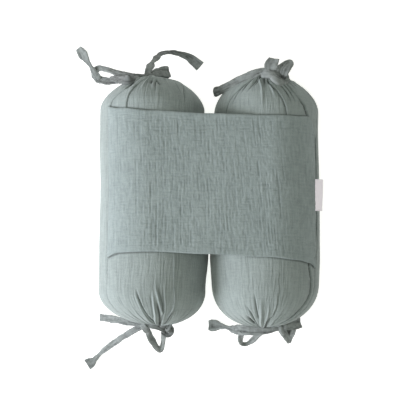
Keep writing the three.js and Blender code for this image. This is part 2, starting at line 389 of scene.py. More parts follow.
def make_piece(
    name: str,
    blank: bmesh.types.BMesh,
    lay: Callable[[np.ndarray], Laid],
    material: bpy.types.Material,
) -> bpy.types.Object:
    """Turns a blank into a finished piece.

    Args:
        name: The piece's name.
        blank: The mesh to use, which is freed.
        lay: Gives the places for the blank's points.
        material: What it is made of.

    Returns:
        The piece, smooth-shaded, at the origin.
    """
    mesh = bpy.data.meshes.new(name)
    blank.to_mesh(mesh)
    blank.free()
    flat = np.zeros(len(mesh.vertices) * 3, np.float32)
    mesh.vertices.foreach_get("co", flat)
    laid = lay(flat.reshape(-1, 3).astype(float))
    mesh.vertices.foreach_set("co", (laid.place * MM).astype(np.float32).ravel())
    for label, points in (("rest_point", laid.rest), ("thread_point", laid.thread)):
        layer = mesh.attributes.new(label, "FLOAT_VECTOR", "POINT")
        layer.data.foreach_set("vector", (points * MM).astype(np.float32).ravel())
    # The crease attribute carries painted shade: the material darkens the colour by it.
    crease = mesh.attributes.new("crease", "FLOAT", "POINT")
    crease.data.foreach_set("value", np.clip(laid.crease, 0.0, 1.0).astype(np.float32))
    mesh.polygons.foreach_set("use_smooth", [True] * len(mesh.polygons))
    mesh.materials.append(material)
    mesh.update()
    piece = bpy.data.objects.new(name, mesh)
    bpy.context.scene.collection.objects.link(piece)
    return piece


def report(piece: bpy.types.Object) -> None:
    """Logs a piece's name and how many faces it has."""
    LOG.info("%s: %d faces", piece.name, len(piece.data.polygons))


# ---- Finishes ----


@dataclass(frozen=True)
class NodeBoard:
    """The nodes of one material, with short ways to add to them.

    Attributes:
        material: The material.
    """

    material: bpy.types.Material

    def add(self, kind: str, **settings: object) -> bpy.types.Node:
        """Adds a node, and sets its inputs by name, with an underscore for each space.

        Args:
            kind: The node's type, without its prefix.
            settings: Values of its inputs; a socket is linked instead.

        Returns:
            The node.
        """
        node = self.material.node_tree.nodes.new(f"ShaderNode{kind}")
        for name, value in settings.items():
            self.set(node.inputs[name.replace("_", " ")], value)
        return node

    def set(self, socket: bpy.types.NodeSocket, value: object) -> None:
        """Gives an input a value, or links it where the value is another node's output."""
        if isinstance(value, bpy.types.NodeSocket):
            self.material.node_tree.links.new(value, socket)
        else:
            socket.default_value = value

    def sum(self, *terms: tuple[bpy.types.NodeSocket, float]) -> bpy.types.NodeSocket:
        """Adds up outputs, each times its own factor.

        Args:
            terms: The outputs and their factors.

        Returns:
            The output that carries the sum.
        """
        total = None
        for socket, factor in terms:
            node = self.material.node_tree.nodes.new("ShaderNodeMath")
            node.operation = "MULTIPLY_ADD"
            self.set(node.inputs[0], socket)
            node.inputs[1].default_value = factor
            self.set(node.inputs[2], 0.0 if total is None else total)
            total = node.outputs["Value"]
        return total

    def attribute(self, name: str, output: str) -> bpy.types.NodeSocket:
        """Reads an attribute of the mesh."""
        node = self.material.node_tree.nodes.new("ShaderNodeAttribute")
        node.attribute_name = name
        return node.outputs[output]

    def noise(
        self, place: bpy.types.NodeSocket, waves: float, packing: Colour, detail: float = 2.0
    ) -> bpy.types.NodeSocket:
        """Adds an unevenness that follows the cloth.

        Args:
            place: The output that gives the place on the cloth.
            waves: How many waves it has in a metre.
            packing: How much it is packed each way.
            detail: How much finer detail it has.

        Returns:
            The output that carries it, from 0 to 1.
        """
        mapping = self.add("Mapping", Vector=place, Scale=packing)
        noise = self.add("TexNoise", Vector=mapping.outputs[0], Scale=waves, Detail=detail)
        return noise.outputs["Fac"]

    def bands(self, place: bpy.types.NodeSocket, pitch: float, direction: str) -> bpy.types.NodeSocket:
        """Adds even threads, a pitch in metres apart.

        Args:
            place: The output that gives the place on the cloth.
            pitch: Distance from thread to thread.
            direction: The axis that they follow one another along.

        Returns:
            The output that carries them, from 0 to 1.
        """
        wave = self.add("TexWave", Vector=place, Scale=2 * math.pi / (20 * pitch), Distortion=0.5)
        wave.bands_direction = direction
        return wave.outputs["Fac"]

    def ramp(self, value: bpy.types.NodeSocket, stops: tuple[tuple[float, Colour], ...]) -> bpy.types.NodeSocket:
        """Turns a value into a colour.

        Args:
            value: The output that carries it.
            stops: Two places and their colours.

        Returns:
            The output that carries the colour.
        """
        node = self.add("ValToRGB", Fac=value)
        for element, (place, colour) in zip(node.color_ramp.elements, stops):
            element.position, element.color = place, (*colour, 1.0)
        return node.outputs["Color"]


@dataclass(frozen=True)
class MuslinFinish:
    """Washed double gauze: matt, softly crinkled, with an open weave, and shade painted into its creases.

    Attributes:
        name: The material's name.
        colour: Colour of its ridges, lighter partly as its own uneven tone and partly as painted light on the fine
            relief.
        trough: Colour of its troughs, darker partly as its own uneven tone and partly as painted shade on the fine
            relief; the dark tone of the painted crease shade is made from it.
        shade: How strongly the painted shade in the crease attribute darkens the colour.
        crinkle: How many streaks there are in a metre across the cloth.
        stretch: How much longer a streak is than it is wide.
        relief: Height of what is too fine for the mesh, in metres.
    """

    name: str
    colour: Colour
    trough: Colour
    shade: float = 0.8
    crinkle: float = 330.0
    stretch: float = 6.0
    relief: float = 0.0006

    def build(self) -> bpy.types.Material:
        """Makes the material.

        Returns:
            The material, which reads rest_point, thread_point and crease, its painted shade, from the mesh.
        """
        material = bpy.data.materials.new(self.name)
        material.use_nodes = True
        board = NodeBoard(material)
        shader = material.node_tree.nodes["Principled BSDF"]
        shader.inputs["Roughness"].default_value = 0.94
        shader.inputs["Specular IOR Level"].default_value = 0.2
        shader.inputs["Sheen Weight"].default_value = 0.15
        shader.inputs["Sheen Roughness"].default_value = 0.5
        rest = board.attribute("rest_point", "Vector")
        thread = board.attribute("thread_point", "Vector")
        streaks = board.noise(rest, self.crinkle, (1.0, 1.0 / self.stretch, 1.0))
        slubs = board.noise(rest, self.crinkle * 0.9, (0.3, 1.6, 0.3))
        fuzz = board.noise(rest, 1100.0, (1.0, 1.0, 1.0), 1.0)
        blotches = board.noise(rest, 26.0, (1.0, 0.6, 1.0))
        warp = board.bands(thread, 0.0011, "X")
        weft = board.bands(thread, 0.0012, "Y")
        # Streaks, slubs and fuzz raise the bump and lighten the colour together: painted light on the ridges and
        # painted shade in the troughs of the fine relief; the blotches are the cloth's own uneven tone.
        tone = board.sum((streaks, 0.45), (slubs, 0.35), (fuzz, 0.4), (blotches, 0.3))
        plain = board.ramp(tone, ((0.6, self.trough), (0.9, self.colour)))
        # Painted shade: the crease attribute mixes the colour towards a dark tone.
        painted_shade_mix = board.sum((board.attribute("crease", "Fac"), self.shade))
        dark = tuple(0.16 * channel for channel in self.trough)
        colour = board.add("Mix")
        colour.data_type = "RGBA"
        board.set(colour.inputs["Factor"], painted_shade_mix)
        board.set(colour.inputs[6], plain)
        board.set(colour.inputs[7], (*dark, 1.0))
        board.set(shader.inputs["Base Color"], colour.outputs[2])
        height = board.sum((streaks, 0.9), (slubs, 0.4), (fuzz, 0.35), (warp, 0.07), (weft, 0.07))
        bump = board.add("Bump", Height=height, Distance=self.relief)
        board.set(shader.inputs["Normal"], bump.outputs["Normal"])
        return material


@dataclass(frozen=True)
class TapeFinish:
    """A woven tape with fine ribs across it, nothing on it, and a faint glow of painted light."""

    name: str
    colour: Colour

    def build(self) -> bpy.types.Material:
        """Makes the material."""
        material = bpy.data.materials.new(self.name)
        material.use_nodes = True
        board = NodeBoard(material)
        shader = material.node_tree.nodes["Principled BSDF"]
        shader.inputs["Roughness"].default_value = 0.6
        shader.inputs["Sheen Weight"].default_value = 0.3
        # Painted light: a faint glow makes the tape brighter than the lamps leave it.
        shader.inputs["Emission Color"].default_value = (1.0, 0.97, 1.0, 1.0)
        shader.inputs["Emission Strength"].default_value = 0.14
        thread = board.attribute("thread_point", "Vector")
        ribs = board.bands(thread, 0.0009, "Y")
        yarns = board.bands(thread, 0.0007, "X")
        worn = board.noise(thread, 120.0, (1.0, 1.0, 1.0))
        tone = board.sum((ribs, 0.4), (yarns, 0.2), (worn, 0.8))
        dull = tuple(0.88 * channel for channel in self.colour)
        board.set(shader.inputs["Base Color"], board.ramp(tone, ((0.3, dull), (1.0, self.colour))))
        height = board.sum((ribs, 0.7), (yarns, 0.3))
        bump = board.add("Bump", Height=height, Distance=0.00012)
        board.set(shader.inputs["Normal"], bump.outputs["Normal"])
        return material


# ---- Rolls ----


class Side(Enum):
    """Which side of a fold its cloth stands up on."""

    LEFT = 1
    RIGHT = -1
    BOTH = 0


@dataclass(frozen=True)
class Pleat:
    """A fold that runs from a gather towards the middle of a roll.

    Attributes:
        line: Rows of distance from the gather's tip along Y, and angle round the roll.
        groove: Depth of its groove.
        width: Half the width of its groove.
        crest: Height of the cloth beside the groove, or of the ridge where there is no groove.
        spread: How far the crest reaches.
        side: Which side of the groove the crest is on.
        fade: Share of the line after which it starts to die away.
        shade: How dark the shade painted into its groove is.
        begin: How far from the tip it starts, where it doesn't start at the tie.
    """

    line: Rows
    groove: float = 1.6
    width: float = 1.4
    crest: float = 0.8
    spread: float = 3.0
    side: Side = Side.LEFT
    fade: float = 0.45
    shade: float = 0.5
    begin: float = -9.0

    def press(
        self, away: np.ndarray, angle: np.ndarray, radius: np.ndarray
    ) -> tuple[np.ndarray, np.ndarray]:
        """Presses the fold into a roll's end.

        Args:
            away: Distance of each ring from the gather's tip along Y, as rings by 1.
            angle: Angle of each spoke in degrees, as 1 by spokes.
            radius: Radius of each ring, as rings by 1.

        Returns:
            Heights and painted shade, each as rings by spokes.
        """
        table = np.array(self.line, float)
        order = np.argsort(table[:, 0])
        path = np.interp(away, table[order, 0], table[order, 1])
        turn = (angle - path + 180.0) % 360.0 - 180.0
        off = np.radians(turn) * np.maximum(radius, 3.0)
        reach = table[:, 0].max()
        share = 1.0 - ease(reach * self.fade, reach, away)
        share = share * ease(self.begin - 1.5, self.begin + 1.5, away)
        inside = np.exp(-((np.abs(off) / self.width) ** 1.5))
        if self.side is Side.BOTH:
            crest = np.exp(-((off / self.spread) ** 2))
        else:
            lifted = off * self.side.value
            crest = np.exp(-np.maximum(lifted, 0.0) / self.spread)
            crest = crest / (1.0 + np.exp(-np.clip(lifted / 0.4, -30, 30)))
        # Painted shade along the groove.
        shade = share * self.shade * np.exp(-((np.abs(off) / (0.7 * self.width)) ** 2))
        return share * (self.crest * crest - self.groove * inside), shade


@dataclass(frozen=True)
class Gather:
    """An end of a roll, drawn closed by its tie.

    Attributes:
        tip: Where along Y it lies.
        depth: How deep its dome is.
        power: How round its dome is; 2 is an ellipse.
        drift: How far it sits to one side of the roll's axis.
        lift: How far it sits above the axis.
        pleats: Its main folds.
        seed: Which small folds it has.
        mouth: Radius at which its tie holds the cloth.
        small_folds: How many small folds it has.
        small_depth: How deep they are, beside the usual depth.
        collar: Height of the cloth that stands up just outside the tie.
        nose: How far the cloth inside the tie stands out, or less than 0 where it is drawn in.
    """

    tip: float
    depth: float
    power: float
    drift: float
    lift: float
    pleats: tuple[Pleat, ...]
    seed: int
    mouth: float = 9.0
    small_folds: int = 30
    small_depth: float = 0.8
    collar: float = 0.0
    nose: float = 1.2

    def press_small(
        self, along: np.ndarray, angle: np.ndarray, radius: np.ndarray
    ) -> tuple[np.ndarray, np.ndarray]:
        """Presses in the many short folds that are packed round the gather.

        Args:
            along: Distance over the cloth from the tie to each ring, as rings by 1.
            angle: Angle of each spoke in degrees, as 1 by spokes.
            radius: Radius of each ring, as rings by 1.

        Returns:
            Heights and painted shade, each as rings by spokes.
        """
        dice = np.random.default_rng(self.seed)
        total = np.zeros((len(along), angle.shape[1]))
        shade = np.zeros_like(total)
        pitch = 360.0 / self.small_folds
        for fold in range(self.small_folds):
            at = pitch * (fold + dice.uniform(-0.32, 0.32))
            reach = dice.uniform(8.0, 19.0) * (1.9 if fold % 4 == 0 else 1.0)
            depth = dice.uniform(1.4, 3.4) * self.small_depth
            width = dice.uniform(0.7, 1.15)
            lean = dice.uniform(-5.0, 5.0) * np.clip(along / 20.0, 0.0, 1.5)
            turn = (angle - at - lean + 180.0) % 360.0 - 180.0
            off = np.radians(turn) * np.maximum(radius, 3.0)
            share = 1.0 - ease(0.05 * reach, reach, along)
            inside = np.exp(-((np.abs(off) / (width * (1.0 + along / 14.0))) ** 1.5))
            total -= share * depth * inside
            # Painted shade in each small fold.
            shade = np.maximum(shade, share * inside * depth / 3.6)
        total += self.collar * np.exp(-(((radius - 3.4 * self.mouth) / 3.6) ** 2))
        return total, shade


@dataclass(frozen=True)
class Seam:
    """The lengthwise seam of a cover.

    Attributes:
        line: Rows of place along Y, angle round the roll, and share of its depth.
        depth: Depth of its trough.
        width: Half the width of its trough.
        shoulder: Height of the piped edge on its outer side.
    """

    line: Rows
    depth: float = 1.3
    width: float = 1.0
    shoulder: float = 0.4


@dataclass
class Roll:
    """A filled muslin roll.

    Attributes:
        name: The piece's name.
        node: The CAD node that it stands for.
        girth: Rows of place along Y, radius, and the axis's place along X.
        low: The gather at the near end.
        high: The gather at the far end.
        seams: The seams of its cover.
        seed: Which crinkle it has.
        panel_edge: Rows of angle, the panel's near and far edges along Y there, and how strong
        the shadow painted on the cloth beside them is.
        covered: From where to where along Y the panel hides it.
        streak: How long the long wrinkles of its cloth are.
        spokes: How many vertices a ring has.
    """

    name: str
    node: str
    girth: Rows
    low: Gather
    high: Gather
    seams: tuple[Seam, ...]
    seed: int
    panel_edge: Rows
    covered: tuple[float, float] = (-62.0, 92.0)
    streak: float = 22.0
    spokes: int = 356

    def radius_at(self, y: np.ndarray) -> np.ndarray:
        """Gives the radius of the filled body at places along Y."""
        return look_up(self.girth, y, 1)

    def axis_at(self, y: np.ndarray) -> np.ndarray:
        """Gives the axis's place along X, at places along Y."""
        return look_up(self.girth, y, 2)

    def build(self, material: bpy.types.Material) -> bpy.types.Object:
        """Makes the roll.

        Args:
            material: The cover's muslin.

        Returns:
            The finished piece.
        """
        y, radius, share, along = self._profile()
        rings = len(y) - 2
        spin = self._spin()
        place, rest, crease, thread = self._surface(y, radius, share, along, spin[None, :])

        def lay(flat: np.ndarray) -> Laid:
            """Picks each vertex's place from the ring and the spoke that it is on."""
            ring = np.rint(flat[:, 1] * (rings + 1)).astype(int)
            turn = np.arctan2(flat[:, 2], flat[:, 0]) + math.pi / 2
            spoke = np.rint(turn / (2 * math.pi) * self.spokes).astype(int) % self.spokes
            return Laid(place[ring, spoke], rest[ring, spoke], crease[ring, spoke], thread[ring, spoke])

        piece = make_piece(self.name, lathe_blank(rings, self.spokes), lay, material)
        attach(piece, "root")
        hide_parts(self.node)
        return piece

    def _spin(self) -> np.ndarray:
        """Gives each spoke's angle in radians, with the spokes closer together on the top."""
        share = np.linspace(0.0, 1.0, self.spokes, endpoint=False)
        return 2 * math.pi * share - math.pi / 2 + 0.42 * np.sin(2 * math.pi * share)

    def _profile(self) -> tuple[np.ndarray, np.ndarray, np.ndarray, np.ndarray]:
        """Works out the rings, close together where the cloth is folded.

        Returns:
            Place along Y, radius, share of the dome, and distance over the cloth from the near pole.
        """
        fine = 400
        y, radius, share = [], [], []
        for gather in (self.low, self.high):
            mouth = np.linspace(0.0, gather.mouth, 40, endpoint=False)
            start = gather.tip - math.copysign(gather.depth, gather.tip)
            widest = float(self.radius_at(np.array(start)))
            opening = math.acos(min(1.0, gather.mouth / widest))
            swing = np.linspace(opening, 0.0, fine)
            dome_share = np.sin(swing) ** (2.0 / gather.power)
            dome_y = start + (gather.tip - start) * dome_share
            dome_radius = self.radius_at(dome_y) * np.cos(swing)
            end_y = np.concatenate([np.full(len(mouth), dome_y[0]), dome_y])
            end_radius = np.concatenate([mouth, dome_radius])
            end_share = np.concatenate([np.ones(len(mouth)), dome_share])
            step = 1 if gather is self.low else -1
            y.append(end_y[::step])
            radius.append(end_radius[::step])
            share.append(end_share[::step])
        body = np.linspace(y[0][-1], y[1][0], fine)[1:-1]
        all_y = np.concatenate([y[0], body, y[1]])
        all_radius = np.concatenate([radius[0], self.radius_at(body), radius[1]])
        all_share = np.concatenate([share[0], np.zeros(len(body)), share[1]])
        steps = np.hypot(np.diff(all_y), np.diff(all_radius))
        along = np.concatenate([[0.0], np.cumsum(steps)])
        pitch = np.where(all_share > 0.02, np.where(all_radius < 34, 0.75, 1.0), 1.15)
        pitch = np.where((all_y > self.covered[0]) & (all_y < self.covered[1]), 4.6, pitch)
        cost = np.concatenate([[0.0], np.cumsum(steps / pitch[1:])])
        at = np.interp(np.linspace(0.0, cost[-1], round(cost[-1]) + 1), cost, along)
        columns = [np.interp(at, along, column) for column in (all_y, all_radius, all_share)]
        return columns[0], columns[1], columns[2], at

    def _surface(
        self,
        y: np.ndarray,
        radius: np.ndarray,
        share: np.ndarray,
        along: np.ndarray,
        spin: np.ndarray,
    ) -> tuple[np.ndarray, np.ndarray, np.ndarray, np.ndarray]:
        """Lays the cover over its filling, with its folds, seams and crinkle.

        Args:
            y: Place of each ring along Y.
            radius: Radius of each ring.
            share: How far over its dome each ring is.
            along: Distance of each ring over the cloth.
            spin: Angle of each spoke in radians, as 1 by spokes.

        Returns:
            Places, flat-cloth places, painted shade and threads, each as rings by spokes.
        """
        angle = np.degrees(spin)
        y, radius, share, along = (column[:, None] for column in (y, radius, share, along))
        near = y < 0
        drift = np.where(near, self.low.drift, self.high.drift)
        lift = np.where(near, self.low.lift, self.high.lift)
        middle_x = self.axis_at(y) + drift * share**2
        middle = np.stack([middle_x, y + 0.0, AXIS_HEIGHT + lift * share**2], axis=2)
        ray = np.stack([np.cos(spin), np.zeros_like(spin), np.sin(spin)], axis=2)
        place = middle + radius[..., None] * ray
        out = outward_of(place, middle * [1.0, 0.93, 1.0])
        height, crease = self._fold_height(y, radius, along, angle)
        for height_of in (self._seam_height, self._cloth_height):
            more, shade = height_of(y, radius, along, angle)
            height, crease = height + more, np.maximum(crease, shade)
        mouth = np.where(near, self.low.mouth, self.high.mouth)
        highest = 0.3 + 3.2 * ease(0.8 * mouth, 32.0, radius)
        height = np.minimum(height * ease(1.0, 10.0, radius), highest)
        place = place + height[..., None] * out
        nose = np.where(near, self.low.nose, self.high.nose)
        nose = nose * (1.0 - ease(0.35, 1.0, radius / mouth)) * (share > 0.9)
        place[..., 1] += np.sign(y) * nose
        level = place[..., 2]
        place[..., 2] = 0.5 * (level + np.sqrt(level**2 + 9.0)) - 0.2
        zeros = np.zeros_like(angle * y)
        rest = np.stack(
            [CLOTH_RADIUS * np.cos(spin) + zeros, along + zeros, CLOTH_RADIUS * np.sin(spin) + zeros],
            axis=2,
        )
        thread = np.stack([CLOTH_RADIUS * spin + zeros, along + zeros, zeros], axis=2)
        return place, rest, crease, thread

    def _fold_height(
        self, y: np.ndarray, radius: np.ndarray, along: np.ndarray, angle: np.ndarray
    ) -> tuple[np.ndarray, np.ndarray]:
        """Gives the height of the folds that both gathers make, and the shade painted into them."""
        total = np.zeros((len(y), angle.shape[1]))
        shade = np.zeros_like(total)
        for gather in (self.low, self.high):
            outward = math.copysign(1.0, gather.tip)
            rows = y[:, 0] * outward > 0
            away = np.abs(y[rows] - gather.tip)
            tied = along[rows][radius[rows] <= gather.mouth + 0.01]
            edge = tied.max() if gather is self.low else tied.min()
            from_tie = np.maximum((along[rows] - edge) * -outward, 0.0)
            total[rows], shade[rows] = gather.press_small(from_tie, angle, radius[rows])
            for pleat in gather.pleats:
                more, crease = pleat.press(away, angle, radius[rows])
                total[rows] += more
                shade[rows] = np.maximum(shade[rows], crease)
        return total, shade

    def _seam_height(
        self, y: np.ndarray, radius: np.ndarray, along: np.ndarray, angle: np.ndarray
    ) -> tuple[np.ndarray, np.ndarray]:
        """Gives each seam's trough, with the small puckers that its stitches make, and the shade painted into the
        trough.
        """
        total = np.zeros((len(y), angle.shape[1]))
        shade = np.zeros_like(total)
        for seam in self.seams:
            table = np.array(seam.line, float)
            path = np.interp(y, table[:, 0], table[:, 1])
            strength = np.interp(y, table[:, 0], table[:, 2])
            off = np.radians((angle - path + 180.0) % 360.0 - 180.0) * radius
            pull = 1.0 + 0.35 * ClothNoise(self.seed + 40, 50.0, 9.0).at(0.0 * y, along)
            inside = pull * np.exp(-((np.abs(off) / seam.width) ** 1.5))
            shoulder = seam.shoulder * np.exp(-(((off + 2.8) / 1.5) ** 2))
            puckers = 0.25 * np.sin(along * 0.95 + 2.0 * np.sin(along * 0.11))
            total += strength * (shoulder - seam.depth * inside)
            total += puckers * np.exp(-np.abs(off) / 3.5)
            # Painted shade in the seam's trough.
            shade = np.maximum(shade, strength * inside * seam.depth / 2.2)
        return total, shade

    def _cloth_height(
        self, y: np.ndarray, radius: np.ndarray, along: np.ndarray, angle: np.ndarray
    ) -> tuple[np.ndarray, np.ndarray]:
        """Gives the crinkle of the cloth and the unevenness of the filling, with shade painted into the crinkle's
        creases and shadow painted beside the panel's edges.
        """
        period = 2 * math.pi * CLOTH_RADIUS
        across = np.radians(angle) * CLOTH_RADIUS + 0.0 * y
        down = along + 0.0 * across
        wide, wide_crease = Crinkle(
            self.seed, 4.1, self.streak, 0.6, 1.1, period=period, cover=0.7
        ).read(across, down)
        fine, fine_crease = Crinkle(
            self.seed + 10, 2.6, 10.0, 0.5, 0.8, period=period, cover=0.62
        ).read(across, down)
        filling = ClothNoise(self.seed + 20, 58.0, 46.0, period).at(across, down)
        creep = ClothNoise(self.seed + 25, 14.0, 60.0, period).at(across, down)
        low, high = self.covered
        under = ease(low - 6, low, y) * (1.0 - ease(high, high + 6, y))
        under = under * ease(27.0, 31.0, angle) * (1.0 - ease(140.0, 145.0, angle))
        table = np.array(self.panel_edge, float)
        # Painted shadow beside the panel's edges, where the panel shades the cover.
        painted_edge_shadow = np.zeros_like(under)
        for column, outward in ((1, -1.0), (2, 1.0)):
            edge = np.interp(angle, table[:, 0], table[:, column])
            painted_edge_shadow = np.maximum(painted_edge_shadow, np.exp(-(((y - edge - 0.5 * outward) / 1.1) ** 2)))
        painted_edge_shadow *= np.interp(angle, table[:, 0], table[:, 3])
        thin = np.clip(radius / CLOTH_RADIUS, 0.0, 1.0) ** 0.5
        total = thin * (0.7 * filling + 0.2 * creep + 0.34 * wide + 0.24 * fine)
        # Painted shade in the crinkle's creases.
        shade = 0.17 * wide_crease + 0.13 * fine_crease
        return total * (1.0 - 0.75 * under) - 0.25 * under, np.maximum(shade, 0.85 * painted_edge_shadow)


# ---- Panel ----


@dataclass
class Panel:
    """The flat panel that joins the rolls and is stretched over them.

    Attributes:
        left: The roll that it starts on.
        right: The roll that it ends on.
        seam_left: Angle above level at which it is sewn to the left roll.
        seam_right: Angle above level at which it is sewn to the right roll.
        edges: Rows of share of its way over the rolls, and its low and high cut edges along Y.
        flat: The size that it was cut to.
        clearance: Distance from the rolls to its underside.
        thickness: Its thickness.
        hem: Width of the hem along its cut edges.
    """

    left: Roll
    right: Roll
    seam_left: float = 38.0
    seam_right: float = 29.0
    edges: Rows = (
        (0.0, -69.5, 108.0),
        (0.08, -65.0, 103.5),
        (0.22, -64.5, 98.5),
        (0.48, -67.5, 95.0),
        (0.73, -70.5, 93.0),
        (0.87, -73.5, 93.5),
        (0.94, -76.0, 95.5),
        (1.0, -81.5, 79.5),
    )
    flat: tuple[float, float] = (265.0, 170.0)
    clearance: float = 0.7
    thickness: float = 1.5
    hem: float = 7.5
    steps: int = 290
    rows: int = 160

    def frame_at(self, share: np.ndarray, y: np.ndarray) -> tuple[np.ndarray, ...]:
        """Follows the panel's way over the rolls.

        Args:
            share: How far from the left seam to the right one.
            y: Place along Y.

        Returns:
            The X to measure from, the radius, and the outward angle in radians.
        """
        radius_left, radius_right = self.left.radius_at(y), self.right.radius_at(y)
        x_left, x_right = self.left.axis_at(y), self.right.axis_at(y)
        arc_left = math.radians(90.0 - self.seam_left)
        arc_right = math.radians(90.0 - self.seam_right)
        span = x_right - x_left
        travelled = share * (arc_left * radius_left + span + arc_right * radius_right)
        over = travelled - arc_left * radius_left
        across = np.clip(over / span, 0.0, 1.0)
        turn = np.where(over < 0, -over / radius_left, 0.0)
        turn = np.where(over > span, -(over - span) / radius_right, turn)
        radius = radius_left * (1.0 - across) + radius_right * across
        return x_left + across * span, radius, math.pi / 2 + turn

    def build(self, material: bpy.types.Material) -> bpy.types.Object:
        """Makes the panel.

        Args:
            material: The panel's muslin.

        Returns:
            The finished piece.
        """
        piece = make_piece("panel_cloth", sheet_blank(self.steps, self.rows), self._lay, material)
        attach(piece, "root")
        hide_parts("panel")
        return piece

    def _lay(self, flat: np.ndarray) -> Laid:
        """Stretches the cut cloth over the rolls."""
        share = self._closer_at_ends(flat[:, 0], 0.012)
        across = self._closer_at_ends(flat[:, 1], 0.03)
        top = flat[:, 2] > 0.5
        low, high = look_up(self.edges, share, 1), look_up(self.edges, share, 2)
        y = low * (1.0 - across) + high * across
        x, radius, outward = self.frame_at(share, y)
        along = share * self.flat[0]
        from_low, from_high = y - low, high - y
        from_edge = np.minimum(from_low, from_high)
        from_seam = np.minimum(along, self.flat[0] - along)
        height, crease = self._relief(along, y, from_edge, from_seam)
        middle = self.clearance + 0.5 * self.thickness
        half = 0.5 * self.thickness * self._rounding(from_edge, 1.2)
        hem = 0.16 * (1.0 - ease(self.hem - 0.8, self.hem + 0.3, from_edge))
        outer = middle + half + (height + hem) * ease(0.0, 1.5, from_edge)
        inner = middle - half
        tuck = 1.0 - ease(0.0, 4.0, from_seam)
        level = np.where(top, outer, inner) - tuck * (middle + 0.4)
        reach = radius + level
        place = np.stack(
            [x + reach * np.cos(outward), y, AXIS_HEIGHT + reach * np.sin(outward)], axis=1
        )
        rest = np.stack([along, y, np.zeros_like(y)], axis=1)
        # Only the top face carries the painted shade.
        return Laid(place, rest, np.where(top, crease, 0.0), rest)

    def _relief(
        self, along: np.ndarray, y: np.ndarray, from_edge: np.ndarray, from_seam: np.ndarray
    ) -> tuple[np.ndarray, np.ndarray]:
        """Gives the panel's crinkle, its cross threads and the puckers of its hems, with shade painted into its
        creases, along its hem lines and where it dives into its seams.

        Args:
            along: Distance from the left seam over the cloth.
            y: Place along Y.
            from_edge: Distance to the nearer cut edge.
            from_seam: Distance to the nearer seam.

        Returns:
            The height and the painted shade at each point.
        """
        inside = 0.65 + 0.35 * ease(self.hem - 1.0, self.hem + 3.0, from_edge)
        leaning = 0.02 + 0.07 * ease(60.0, 190.0, along)
        turned = along + leaning * y
        wide, wide_crease = Crinkle(71, 4.0, 16.0, 0.7, 0.55, cover=0.58).read(turned, y)
        fine, fine_crease = Crinkle(75, 2.7, 6.0, 0.62, 0.3, cover=0.5).read(turned, y)
        across = y - 0.02 * along
        cross, cross_crease = Crinkle(79, 3.1, 5.5, 0.7, 0.35, cover=0.52).read(across, along)
        grain = ClothNoise(93, 1.9, 2.3).at(along, y)
        swell = ClothNoise(89, 22.0, 34.0).at(along, y)
        calmer = 1.0 - 0.35 * ease(195.0, 240.0, along)
        calmer = calmer * (0.7 + 0.4 * ease(20.0, 75.0, along) - 0.1 * ease(120.0, 150.0, along))
        puckers = ClothNoise(85, 3.4, 7.0).at(along, y)
        line = np.exp(-(((from_edge - self.hem) / 0.7) ** 2))
        pull = ClothNoise(87, 2.6, 9.0).at(along, y) * np.exp(
            -(((from_edge - self.hem) / 3.0) ** 2)
        )
        body = 0.44 * wide + 0.42 * fine + 0.40 * cross + 0.16 * grain
        height = inside * calmer * body + 0.25 * swell
        height += (1.0 - inside) * 0.25 * puckers - 0.08 * line + 0.12 * pull
        settled = ease(0.0, 5.0, from_seam)
        # Painted shade in the crinkle's creases and along the hem lines.
        shade = 0.20 * wide_crease + 0.20 * fine_crease + 0.15 * cross_crease
        shade = inside * calmer * shade + 0.03 * line
        # Painted shade where the panel dives into its seams.
        edge = 1.0 - ease(0.0, 2.4, from_seam)
        return settled * height, np.maximum(settled * shade, edge)

    @staticmethod
    def _closer_at_ends(share: np.ndarray, pull: float) -> np.ndarray:
        """Moves grid lines a little closer together at both ends."""
        return share - pull * np.sin(2 * math.pi * share)

    @staticmethod
    def _rounding(distance: np.ndarray, radius: float) -> np.ndarray:
        """Gives the share of full thickness near a rolled edge."""
        inward = np.clip(1.0 - distance / radius, 0.0, 1.0)
        return np.sqrt(np.maximum(1.0 - inward**2, 0.0))


# ---- Label ----


